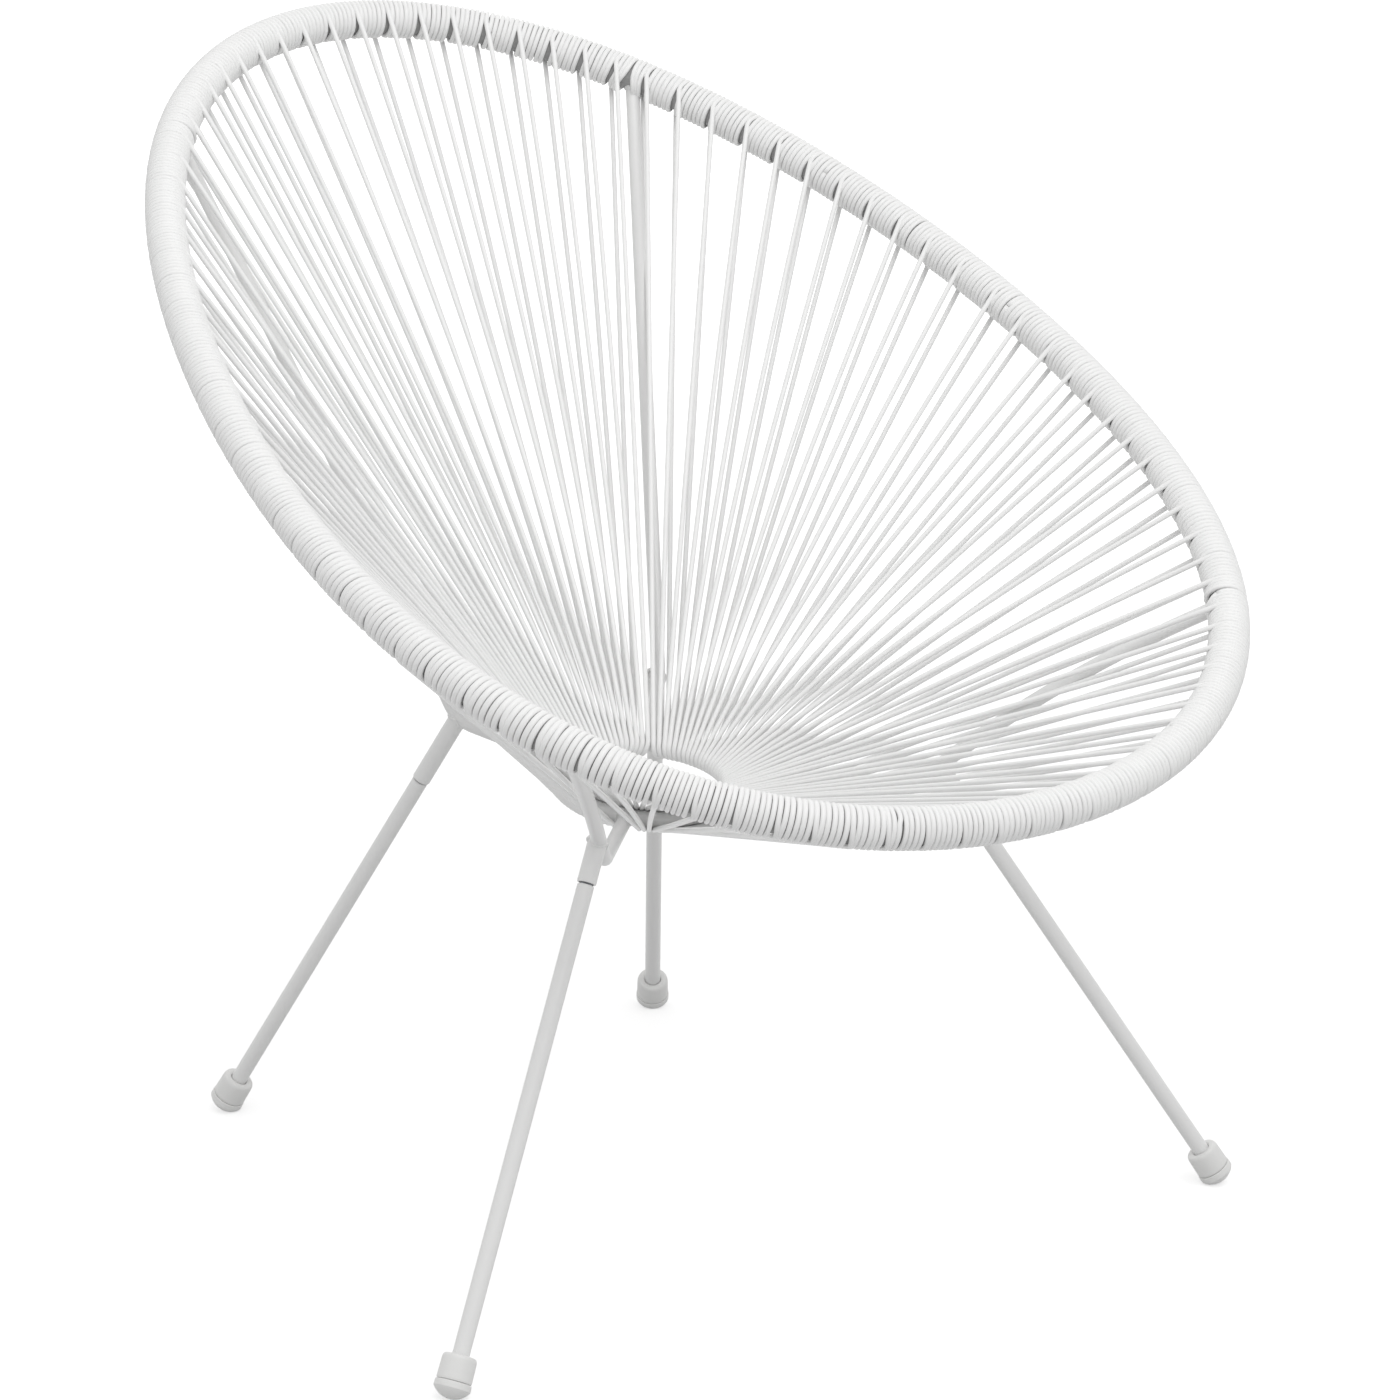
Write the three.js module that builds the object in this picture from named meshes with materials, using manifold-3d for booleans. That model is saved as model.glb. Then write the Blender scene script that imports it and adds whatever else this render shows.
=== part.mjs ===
// Acapulco chair: an egg-shaped tube rim laced with round plastic cord down to a small seat ring,
// carried by four bent frame ribs on four screw-in splayed legs.
// Millimetres, +Z up. The origin is on the floor under the middle of the chair, the sitter faces -Y.
import * as THREE from 'three';
import { mergeVertices } from 'three/addons/utils/BufferGeometryUtils.js';
import { ParametricGeometry } from 'three/addons/geometries/ParametricGeometry.js';
import Module from 'manifold-3d';

const wasm = await Module();
wasm.setup();

// Driving sizes

const rim = {
  halfWidth: 362,
  halfLength: 502,
  tilt: THREE.MathUtils.degToRad(24.1),
  centreHeight: 631.5,
  tubeDiameter: 23,
  // how the width changes from the narrow back to the wide front
  eggShare: -0.152,
  shoulderShare: 0.036,
};

const cord = {
  diameter: 4.2,
  // the gap between neighbouring strands where they crowd together on the seat ring
  ringGap: 0.7,
};

const seatRing = {
  radius: 66,
  tubeDiameter: 12,
  tilt: THREE.MathUtils.degToRad(8.5),
  setBack: 17,
  height: 320,
};

const rib = {
  diameter: 11.3,
  bendRadius: 30,
  bowShares: [1, 0.78, 0.56, 0.34],
};

const socket = {
  diameter: 14.4,
  bore: 11,
};

const leg = {
  diameter: 12.7,
  bore: 9.7,
  // the dark line between a leg and its socket
  jointGap: 1.2,
};

const stud = {
  stemDiameter: 7.4,
  stemLength: 9,
  plugLength: 18,
};

const insert = {
  bore: 8,
  length: 8,
  inset: 1,
};

const foot = {
  diameter: 26,
  glideDiameter: 27,
  capLength: 19,
  glideEdge: 4.8,
  domeRadius: 16,
  shoulderRadius: 5,
  pocketDepth: 15,
  pegDiameter: 8,
  pegLength: 3,
  // the dome dips this far under the floor plane before it is cut flat
  wear: 1,
};

// Each frame rib leaves the rim at an angle round it, bends at its elbow beside the leg and meets
// the seat ring. The elbow and the ring's end are turned from the bearing of the rim's end. The
// nearest strands leave the rim at a clearance before and after the rib. A leg's line runs from
// its point on the floor to a point outside and beside the elbow, at the elbow's height.
const rear = {
  rimAngle: THREE.MathUtils.degToRad(40.7),
  elbowTurn: THREE.MathUtils.degToRad(4.9),
  elbowReach: 153.5,
  elbowHeight: 353.7,
  ringTurn: THREE.MathUtils.degToRad(3.5),
  strandBefore: 6.9,
  strandAfter: 8.9,
  bow: 2.5,
  footX: 208.9,
  footY: 320,
  legOutset: 1,
  legAside: -2.3,
  socketDrop: 52.7,
  socketRise: 3.3,
};

const front = {
  rimAngle: THREE.MathUtils.degToRad(132.7),
  elbowTurn: THREE.MathUtils.degToRad(-1.5),
  elbowReach: 197.8,
  elbowHeight: 324.5,
  ringTurn: THREE.MathUtils.degToRad(-5.7),
  strandBefore: 9.4,
  strandAfter: 14,
  bow: 10,
  footX: 354.2,
  footY: -254,
  legOutset: 41.1,
  legAside: -5.1,
  socketDrop: 3,
  socketRise: 26,
};

// Clearances between pieces that touch, that lie side by side, and that pass each other
const seatGap = 0.3;
const ribPass = 2.3;

// Counts
const stationsBack = 18;
const stationsSide = 24;
const stationsFront = 26;
const panelsBack = 3;
const panelsSide = 4;
const panelsFront = 4;
const tubeSides = 8;
const rodSides = 12;
const turnedSides = 12;
const ringSteps = 36;
const bendSteps = 6;
const loopFaces = 4;

// Values that follow from the sizes above

const stationCount = stationsBack + 2 * stationsSide + stationsFront;
const rimTubeRadius = rim.tubeDiameter / 2;
const woundRadius = rimTubeRadius + cord.diameter;
const ringTubeRadius = seatRing.tubeDiameter / 2;
const ringWoundRadius = ringTubeRadius + cord.diameter;
const ribRadius = rib.diameter / 2;
const rimUp = new THREE.Vector3(0, Math.cos(rim.tilt), Math.sin(rim.tilt));
const rimNormal = new THREE.Vector3(0, -Math.sin(rim.tilt), Math.cos(rim.tilt));
const rimCentre = new THREE.Vector3(0, 0, rim.centreHeight);
const ringCentre = new THREE.Vector3(0, seatRing.setBack, seatRing.height);
const ringAxis = new THREE.Vector3(0, -Math.sin(seatRing.tilt), Math.cos(seatRing.tilt));
const ringBack = new THREE.Vector3(0, Math.cos(seatRing.tilt), Math.sin(seatRing.tilt));
const sideways = new THREE.Vector3(1, 0, 0);
const upright = new THREE.Vector3(0, 0, 1);

// Materials, one for each kind of finish

const finishes = {
  frame: { color: 0xe9e9e7, roughness: 0.42, metalness: 0.1 },
  cord: { color: 0xf4f4f2, roughness: 0.5, metalness: 0 },
  zinc: { color: 0xb9bcc0, roughness: 0.35, metalness: 0.9 },
  cap: { color: 0xeeeeec, roughness: 0.48, metalness: 0 },
};

const part = new THREE.Group();

function addPiece(name, geometry, finish) {
  const material = new THREE.MeshStandardMaterial(finishes[finish]);
  const mesh = new THREE.Mesh(geometry, material);
  mesh.name = name;
  part.add(mesh);
  return mesh;
}

// Solids that are cut or joined

function toSolid(geometry) {
  const bare = geometry.clone();
  bare.deleteAttribute('normal');
  bare.deleteAttribute('uv');
  const merged = mergeVertices(bare, cord.diameter / 1e5);
  return new wasm.Manifold(new wasm.Mesh({
    numProp: 3,
    vertProperties: new Float32Array(merged.attributes.position.array),
    triVerts: new Uint32Array(merged.index.array),
  }));
}

function fromSolid(solid) {
  const mesh = solid.getMesh();
  const geometry = new THREE.BufferGeometry();
  geometry.setAttribute('position', new THREE.BufferAttribute(mesh.vertProperties, 3));
  geometry.setIndex(new THREE.BufferAttribute(mesh.triVerts, 1));
  geometry.computeVertexNormals();
  return geometry;
}

// The rim's centre line: an egg-shaped loop in a plane that leans back.
// The angle is zero at the top of the back and grows towards +X.
function rimPoint(angle) {
  const width = rim.halfWidth * Math.sin(angle)
    * (1 + rim.eggShare * Math.cos(angle) + rim.shoulderShare * Math.cos(2 * angle));
  return rimCentre.clone()
    .addScaledVector(sideways, width)
    .addScaledVector(rimUp, rim.halfLength * Math.cos(angle));
}

// Length along the rim from the top of the back, for each of many equal steps of the angle.
const rimSamples = 40 * stationCount;
const rimLengths = [0];
for (let k = 1; k <= rimSamples; k += 1) {
  const here = rimPoint(2 * Math.PI * k / rimSamples);
  const before = rimPoint(2 * Math.PI * (k - 1) / rimSamples);
  rimLengths.push(rimLengths[k - 1] + here.distanceTo(before));
}
const rimLength = rimLengths[rimSamples];

// A value between the two listed ones that a place falls between.
function between(places, values, place) {
  let low = 0;
  let high = places.length - 1;
  while (high - low > 1) {
    const middle = Math.floor((low + high) / 2);
    if (places[middle] <= place) low = middle;
    else high = middle;
  }
  return THREE.MathUtils.mapLinear(place, places[low], places[high], values[low], values[high]);
}

const sampleNumbers = rimLengths.map((_, k) => k);

function rimAngleAt(length) {
  return 2 * Math.PI * between(rimLengths, sampleNumbers, length) / rimSamples;
}

function rimLengthTo(angle) {
  return between(sampleNumbers, rimLengths, rimSamples * angle / (2 * Math.PI));
}

// A place at a bearing and a reach from the seat ring's middle, moved aside square to the bearing.
function placeAt(bearing, reach, aside, height) {
  return new THREE.Vector3(
    reach * Math.sin(bearing) + aside * Math.cos(bearing),
    seatRing.setBack + reach * Math.cos(bearing) - aside * Math.sin(bearing),
    height,
  );
}

function ribBearing(quarter) {
  const top = rimPoint(quarter.rimAngle);
  return Math.atan2(top.x, top.y - seatRing.setBack);
}

function ribElbow(quarter) {
  const bearing = ribBearing(quarter) + quarter.elbowTurn;
  return placeAt(bearing, quarter.elbowReach, 0, quarter.elbowHeight);
}

// How much longer a clearance is along the rim than square to the rib.
function slantAcross(quarter) {
  const step = Math.PI / rimSamples;
  const along = rimPoint(quarter.rimAngle + step).sub(rimPoint(quarter.rimAngle - step));
  const down = ribElbow(quarter).sub(rimPoint(quarter.rimAngle));
  return 1 / Math.sin(along.angleTo(down));
}

// Lengths along the rim at the frame ribs and at the strands on either side of each.
const rearStation = stationsBack / 2;
const frontStation = rearStation + stationsSide;
const beside = [
  { station: 0, length: 0 },
  ...[[rear, rearStation], [front, frontStation]].flatMap(([quarter, station]) => {
    const length = rimLengthTo(quarter.rimAngle);
    const slant = slantAcross(quarter);
    return [
      { station: station - 1 / 2, length: length - (ribRadius + quarter.strandBefore) * slant },
      { station, length },
      { station: station + 1 / 2, length: length + (ribRadius + quarter.strandAfter) * slant },
    ];
  }),
];
const mirroredBeside = [...beside].reverse().map(({ station, length }) => (
  { station: stationCount - station, length: rimLength - length }));
const knots = [...beside, ...mirroredBeside];
const knotStations = knots.map((knot) => knot.station);
const knotLengths = knots.map((knot) => knot.length);

// The cord stations lie evenly between one frame rib and the next.
function lengthAt(station) {
  const turns = Math.floor(station / stationCount);
  return turns * rimLength + between(knotStations, knotLengths, station - turns * stationCount);
}

// Place, direction and inward direction on the rim at a count of stations from the top of the back.
function rimFrame(station) {
  const angle = rimAngleAt(THREE.MathUtils.euclideanModulo(lengthAt(station), rimLength));
  const step = Math.PI / rimSamples;
  const along = rimPoint(angle + step).sub(rimPoint(angle - step)).normalize();
  return { place: rimPoint(angle), along, inward: along.clone().cross(rimNormal) };
}

// The rim tube is straight from station to station, and so is whatever is bored to take it.
function tubeCorner(station, j, radius) {
  const { place, inward } = rimFrame(station);
  const turn = 2 * Math.PI * j / tubeSides;
  return place
    .addScaledVector(rimNormal, radius * Math.cos(turn))
    .addScaledVector(inward, radius * Math.sin(turn));
}

function tubeSection(station, radius) {
  const low = Math.floor(station);
  return Array.from({ length: tubeSides }, (_, j) => (
    tubeCorner(low, j, radius).lerp(tubeCorner(low + 1, j, radius), station - low)));
}

// Place on the seat ring's centre line and its outward direction, by bearing from the back.
function ringFrame(bearing) {
  const outward = new THREE.Vector3()
    .addScaledVector(sideways, Math.sin(bearing))
    .addScaledVector(ringBack, Math.cos(bearing));
  const along = new THREE.Vector3()
    .addScaledVector(sideways, Math.cos(bearing))
    .addScaledVector(ringBack, -Math.sin(bearing));
  return { place: ringCentre.clone().addScaledVector(outward, seatRing.radius), outward, along };
}

// Frame: the rim tube and the seat ring

function rimTube() {
  const geometry = new ParametricGeometry((u, v, target) => {
    target.copy(tubeCorner(Math.round(u * stationCount), v * tubeSides, rimTubeRadius));
  }, stationCount, tubeSides);
  return fromSolid(outsideOut(geometry));
}

// A closed grid whose faces may point in is turned so that they point out.
function outsideOut(geometry) {
  const solid = toSolid(geometry);
  if (solid.volume() > 0) return solid;
  geometry.index.array.reverse();
  return toSolid(geometry);
}

function ringTorus(tubeRadius) {
  const geometry = new THREE.TorusGeometry(seatRing.radius, tubeRadius, tubeSides, ringSteps);
  geometry.applyMatrix4(new THREE.Matrix4().makeBasis(sideways, ringBack, ringAxis));
  geometry.translate(ringCentre.x, ringCentre.y, ringCentre.z);
  return geometry;
}

// A path of straight runs and bends that takes one step for each of its points.
class RodPath extends THREE.Curve {
  constructor(points) {
    super();
    this.points = points;
  }

  getPoint(t, target = new THREE.Vector3()) {
    const spot = t * (this.points.length - 1);
    const low = Math.min(Math.floor(spot), this.points.length - 2);
    return target.lerpVectors(this.points[low], this.points[low + 1], spot - low);
  }

  getPointAt(u, target) {
    return this.getPoint(u, target);
  }

  getTangentAt(u, target = new THREE.Vector3()) {
    const count = this.points.length - 1;
    const spot = Math.round(u * count);
    const before = this.points[Math.max(spot - 1, 0)];
    const here = this.points[spot];
    const after = this.points[Math.min(spot + 1, count)];
    const arriving = here.clone().sub(before).normalize();
    const leaving = after.clone().sub(here).normalize();
    return target.copy(arriving).add(leaving).normalize();
  }
}

// A round section with flat sides that lie outside or inside the circle.
function roundShape(radius, sides) {
  const shape = new THREE.Shape();
  for (let j = 0; j < sides; j += 1) {
    const turn = 2 * Math.PI * j / sides;
    const [x, y] = [radius * Math.cos(turn), radius * Math.sin(turn)];
    if (j === 0) shape.moveTo(x, y);
    else shape.lineTo(x, y);
  }
  shape.closePath();
  return shape;
}

function rodAlong(points, radius, sides) {
  return new THREE.ExtrudeGeometry(roundShape(radius, sides), {
    steps: points.length - 1,
    extrudePath: new RodPath(points),
    bevelEnabled: false,
  });
}

// The same round the outside: its flats, and not its corners, lie on the radius.
function clearRod(points, radius) {
  return toSolid(rodAlong(points, radius / Math.cos(Math.PI / rodSides), rodSides));
}

// One frame rib: slightly bowed from the rim to a bend beside the leg, then in to the seat ring.
function ribStation(quarter) {
  return quarter === rear ? rearStation : frontStation;
}

function mirrored(point, side) {
  return new THREE.Vector3(side * point.x, point.y, point.z);
}

function ribPoints(quarter) {
  const top = rimPoint(quarter.rimAngle);
  const elbow = ribElbow(quarter);
  const end = ringFrame(ribBearing(quarter) + quarter.ringTurn).place;
  const chord = top.clone().sub(elbow);
  const lift = upright.clone().projectOnPlane(chord.clone().normalize()).normalize();
  const upper = rib.bowShares.map((t) => elbow.clone()
    .addScaledVector(chord, t)
    .addScaledVector(lift, 4 * t * (1 - t) * quarter.bow));
  const up = upper[upper.length - 1].clone().sub(elbow).normalize();
  const inwards = end.clone().sub(elbow).normalize();
  const half = up.angleTo(inwards) / 2;
  const middle = up.clone().add(inwards).normalize();
  const centre = elbow.clone().addScaledVector(middle, rib.bendRadius / Math.sin(half));
  const from = elbow.clone().addScaledVector(up, rib.bendRadius / Math.tan(half)).sub(centre);
  const axis = inwards.clone().cross(up).normalize();
  const sweep = Math.PI - 2 * half;
  const bend = Array.from({ length: bendSteps + 1 }, (_, k) => (
    from.clone().applyAxisAngle(axis, sweep * k / bendSteps).add(centre)));
  return [...upper, ...bend, end];
}

// The rim tube and the seat ring with the gap that a rib's end keeps from them.
function rimClearance(quarter, side) {
  const { place, along } = rimFrame(ribStation(quarter));
  const reach = rim.tubeDiameter;
  const ends = [-reach, reach].map((d) => mirrored(place.clone().addScaledVector(along, d), side));
  return clearRod(ends, rimTubeRadius + seatGap);
}

const ringClearance = outsideOut(ringTorus((ringTubeRadius + seatGap) / Math.cos(Math.PI / tubeSides)));

function frameRib(quarter, side) {
  const points = ribPoints(quarter).map((point) => mirrored(point, side));
  return toSolid(rodAlong(points, ribRadius, rodSides))
    .subtract(rimClearance(quarter, side))
    .subtract(ringClearance);
}

// Legs: a frame along the leg's line, its zero on the floor

function legLine(quarter, side) {
  const ground = new THREE.Vector3(side * quarter.footX, quarter.footY, 0);
  const elbowBearing = ribBearing(quarter) + quarter.elbowTurn;
  const outside = quarter.elbowReach + quarter.legOutset;
  const beside = placeAt(elbowBearing, outside, quarter.legAside, quarter.elbowHeight);
  const up = mirrored(beside, side).sub(ground).normalize();
  return { ground, up, slant: 1 / up.z };
}

// A turned piece: its profile is radius against length along the leg's line.
function turned(profile, quarter, side) {
  const { ground, up } = legLine(quarter, side);
  const points = profile.map(([radius, length]) => new THREE.Vector2(radius, length));
  const geometry = new THREE.LatheGeometry(points, turnedSides);
  geometry.applyQuaternion(new THREE.Quaternion().setFromUnitVectors(new THREE.Vector3(0, 1, 0), up));
  geometry.translate(ground.x, ground.y, ground.z);
  return outsideOut(geometry);
}

// A hollow or solid rod between two lengths along the leg's line.
function pipe(outer, inner, low, high) {
  return [[inner, low], [outer, low], [outer, high], [inner, high], [inner, low]];
}

function legSizes(quarter) {
  const { slant } = legLine(quarter, 1);
  const domeCentre = (foot.domeRadius - foot.wear) * slant;
  const edge = Math.sqrt(foot.domeRadius ** 2 - (foot.glideDiameter / 2) ** 2);
  const glideTop = domeCentre - edge + foot.glideEdge;
  const capLow = glideTop + seatGap;
  const capHigh = capLow + foot.capLength;
  const socketLow = (quarter.elbowHeight - quarter.socketDrop) * slant;
  return {
    domeCentre,
    edge,
    glideTop,
    capLow,
    capHigh,
    legLow: capHigh - foot.pocketDepth + seatGap,
    legHigh: socketLow - leg.jointGap,
    socketLow,
    socketHigh: (quarter.elbowHeight + quarter.socketRise) * slant,
  };
}

function legSocket(quarter, side) {
  const size = legSizes(quarter);
  const points = ribPoints(quarter).map((point) => mirrored(point, side));
  const shell = turned(
    pipe(socket.diameter / 2, socket.bore / 2, size.socketLow, size.socketHigh), quarter, side);
  return largest(shell.subtract(clearRod(points, ribRadius + seatGap)));
}

// The coped end of a socket can leave a sliver past the rib: the socket is the body below it.
function largest(solid) {
  return solid.decompose().sort((a, b) => b.volume() - a.volume())[0];
}

function threadedInsert(quarter, side) {
  const { socketLow } = legSizes(quarter);
  const low = socketLow + insert.inset;
  return turned(
    pipe(socket.bore / 2 - seatGap, insert.bore / 2, low, low + insert.length), quarter, side);
}

function legTube(quarter, side) {
  const { legLow, legHigh } = legSizes(quarter);
  return turned(pipe(leg.diameter / 2, leg.bore / 2, legLow, legHigh), quarter, side);
}

function legStud(quarter, side) {
  const { legHigh } = legSizes(quarter);
  const plug = leg.bore / 2 - seatGap;
  const stem = stud.stemDiameter / 2;
  return turned([
    [0, legHigh - stud.plugLength],
    [plug, legHigh - stud.plugLength],
    [plug, legHigh],
    [stem, legHigh],
    [stem, legHigh + stud.stemLength],
    [0, legHigh + stud.stemLength],
  ], quarter, side);
}

function footCap(quarter, side) {
  const { capLow, capHigh } = legSizes(quarter);
  const outer = foot.diameter / 2;
  const pocket = leg.diameter / 2 + seatGap;
  const hole = foot.pegDiameter / 2 + seatGap;
  const floor = capHigh - foot.pocketDepth;
  const shoulder = [0, 1, 2, 3].map((k) => {
    const turn = Math.PI / 2 * k / 3;
    return [
      outer - foot.shoulderRadius * (1 - Math.cos(turn)),
      capHigh - foot.shoulderRadius * (1 - Math.sin(turn)),
    ];
  });
  return turned([
    [hole, capLow], [outer, capLow], ...shoulder, [pocket, capHigh], [pocket, floor],
    [hole, floor], [hole, capLow],
  ], quarter, side);
}

function footGlide(quarter, side) {
  const { domeCentre, edge, glideTop } = legSizes(quarter);
  const outer = foot.glideDiameter / 2;
  const steps = 5;
  const start = Math.asin(outer / foot.domeRadius);
  const dome = Array.from({ length: steps + 1 }, (_, k) => {
    const turn = start * k / steps;
    return [foot.domeRadius * Math.sin(turn), domeCentre - foot.domeRadius * Math.cos(turn)];
  });
  const peg = foot.pegDiameter / 2;
  const body = turned([
    ...dome,
    [outer, domeCentre - edge + foot.glideEdge],
    [peg, glideTop],
    [peg, glideTop + foot.pegLength],
    [0, glideTop + foot.pegLength],
  ], quarter, side);
  const slab = new THREE.BoxGeometry(4 * foot.diameter, 4 * foot.diameter, foot.diameter);
  slab.translate(side * quarter.footX, quarter.footY, -foot.diameter / 2);
  return body.subtract(toSolid(slab));
}

// Lacing: each panel holds the winding round its stretch of rim, a front and a back strand at
// each station, and the loops under the seat ring that join them.

const panels = [];

// Panels between two frame ribs share the bearing between them evenly, a step for each station.
function addPanels(count, stations, firstStation, fromBearing, toBearing, label) {
  const clearBearing = (ribRadius + ribPass) / seatRing.radius;
  const low = fromBearing + clearBearing;
  const step = (toBearing - clearBearing - low) / stations;
  for (let k = 0; k < count; k += 1) {
    const first = Math.round(stations * k / count);
    const last = Math.round(stations * (k + 1) / count);
    panels.push({
      name: `cord_lacing_${label}_${k + 1}`,
      first: firstStation + first,
      last: firstStation + last,
      bearing: low + step * first,
      step,
    });
  }
}

const fullTurn = 2 * Math.PI;
const [rearArm, frontArm] = [rear, front].map((quarter) => ribBearing(quarter) + quarter.ringTurn);
addPanels(panelsBack, stationsBack, -rearStation, -rearArm, rearArm, 'back');
addPanels(panelsSide, stationsSide, rearStation, rearArm, frontArm, 'left');
addPanels(panelsFront, stationsFront, frontStation, frontArm, fullTurn - frontArm, 'front');
addPanels(
  panelsSide, stationsSide, stationCount - frontStation, fullTurn - frontArm,
  fullTurn - rearArm, 'right');

// Two directions square to a tube: up out of the seat, and away from the rim towards the ring.
function crossing(along, towardsRing) {
  const inward = towardsRing.clone().addScaledVector(along, -towardsRing.dot(along)).normalize();
  return { inward, up: inward.clone().cross(along) };
}

function around({ place, up, inward }, radius, turn) {
  return place.clone()
    .addScaledVector(up, radius * Math.cos(turn))
    .addScaledVector(inward, radius * Math.sin(turn));
}

// A closed surface that is put together from four-cornered and three-cornered faces.
class Skin {
  constructor() {
    this.points = [];
    this.index = [];
  }

  addRow(points) {
    const first = this.points.length;
    this.points.push(...points);
    return points.map((_, j) => first + j);
  }

  triangle(a, b, c) {
    this.index.push(a, b, c);
  }

  quad(a, b, c, d) {
    this.index.push(a, b, c, a, c, d);
  }

  // The ring-shaped end between an outer and an inner row of corners
  endRing(outer, inner) {
    const sides = outer.length;
    const gaps = inner.map((k) => this.points[k].distanceTo(this.points[outer[0]]));
    const start = gaps.indexOf(Math.min(...gaps));
    outer.forEach((corner, j) => {
      const next = outer[(j + 1) % sides];
      this.quad(corner, next, inner[(start + j + 1) % sides], inner[(start + j) % sides]);
    });
  }

  solid() {
    const geometry = new THREE.BufferGeometry().setFromPoints(this.points);
    geometry.setIndex(this.index);
    return toSolid(geometry);
  }
}

// Corners 0 and 1 of the winding carry the front strand, corners 3 and 4 the back strand.
const frontFace = 0;
const backFace = 3;

// One panel: its strands leave the winding at the tangents of the two tubes.
function lacingPanel(panel) {
  const skin = new Skin();
  const count = panel.last - panel.first;
  const pitch = (lengthAt(panel.last) - lengthAt(panel.first)) / count;
  const halfCord = cord.diameter / 2 / pitch;
  const halfSeam = seatGap / 2 / pitch;
  const halfLoop = (panel.step - cord.ringGap / seatRing.radius) / 2;
  const ends = [panel.first + halfSeam, panel.last - halfSeam];

  const windingRow = (station, k) => {
    const { place, along } = rimFrame(station);
    const target = ringFrame(panel.bearing + panel.step * (k + 1 / 2)).place;
    const frame = { place, ...crossing(along, target.sub(place)) };
    return skin.addRow(Array.from({ length: tubeSides }, (_, j) => (
      around(frame, woundRadius, 2 * Math.PI * j / tubeSides))));
  };
  const winding = [windingRow(ends[0], 0)];
  for (let k = 0; k < count; k += 1) {
    const middle = panel.first + k + 1 / 2;
    winding.push(windingRow(middle - halfCord, k), windingRow(middle + halfCord, k));
  }
  winding.push(windingRow(ends[1], count - 1));

  // the loops round the ring: an outer arc and an inner arc at each edge of a strand
  const loopRow = (k, edge) => {
    const { place, along } = ringFrame(panel.bearing + panel.step * (k + 1 / 2) + edge * halfLoop);
    const source = rimFrame(panel.first + k + 1 / 2).place;
    const frame = { place, ...crossing(along, place.clone().sub(source)) };
    const arc = (radius) => Array.from({ length: loopFaces + 1 }, (_, m) => (
      around(frame, radius, Math.PI * m / loopFaces)));
    const clear = (ringTubeRadius + seatGap) / Math.cos(Math.PI / 2 / loopFaces);
    return { outer: skin.addRow(arc(ringWoundRadius)), inner: skin.addRow(arc(clear)) };
  };
  const loops = [];
  for (let k = 0; k < count; k += 1) loops.push(loopRow(k, -1), loopRow(k, 1));

  winding.slice(1).forEach((row, k) => {
    const before = winding[k];
    row.forEach((corner, j) => {
      const next = (j + 1) % tubeSides;
      const strandStarts = k % 2 === 1 && (j === frontFace || j === backFace);
      if (!strandStarts) skin.quad(before[j], before[next], row[next], corner);
    });
  });

  const bore = [ends[0]];
  for (let k = panel.first + 1; k < panel.last; k += 1) bore.push(k);
  bore.push(ends[1]);
  const bored = bore.map((station) => skin.addRow(tubeSection(station, rimTubeRadius + seatGap)));
  bored.slice(1).forEach((row, k) => {
    const before = bored[k];
    row.forEach((corner, j) => {
      const next = (j + 1) % tubeSides;
      skin.quad(before[j], corner, row[next], before[next]);
    });
  });
  const reversed = (row) => [...row].reverse();
  skin.endRing(reversed(winding[0]), reversed(bored[0]));
  skin.endRing(winding[winding.length - 1], bored[bored.length - 1]);

  for (let k = 0; k < count; k += 1) {
    const [w0, w1] = [winding[2 * k + 1], winding[2 * k + 2]];
    const [l0, l1] = [loops[2 * k], loops[2 * k + 1]];
    skinStrand(
      skin,
      [w0[frontFace], w0[frontFace + 1], w1[frontFace + 1], w1[frontFace]],
      [l0.outer[0], l0.inner[0], l1.inner[0], l1.outer[0]],
    );
    skinStrand(
      skin,
      [w0[backFace], w0[backFace + 1], w1[backFace + 1], w1[backFace]],
      [l0.inner[loopFaces], l0.outer[loopFaces], l1.outer[loopFaces], l1.inner[loopFaces]],
    );
  }
  skinLoops(skin, loops);

  const body = skin.solid();
  return passages.reduce((left, passage) => left.subtract(passage), body);
}

// A strand is four long faces between four corners on the rim and four on the ring.
function skinStrand(skin, onRim, onRing) {
  onRim.forEach((corner, k) => {
    const next = (k + 1) % onRim.length;
    skin.quad(corner, onRim[next], onRing[next], onRing[k]);
  });
}

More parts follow.
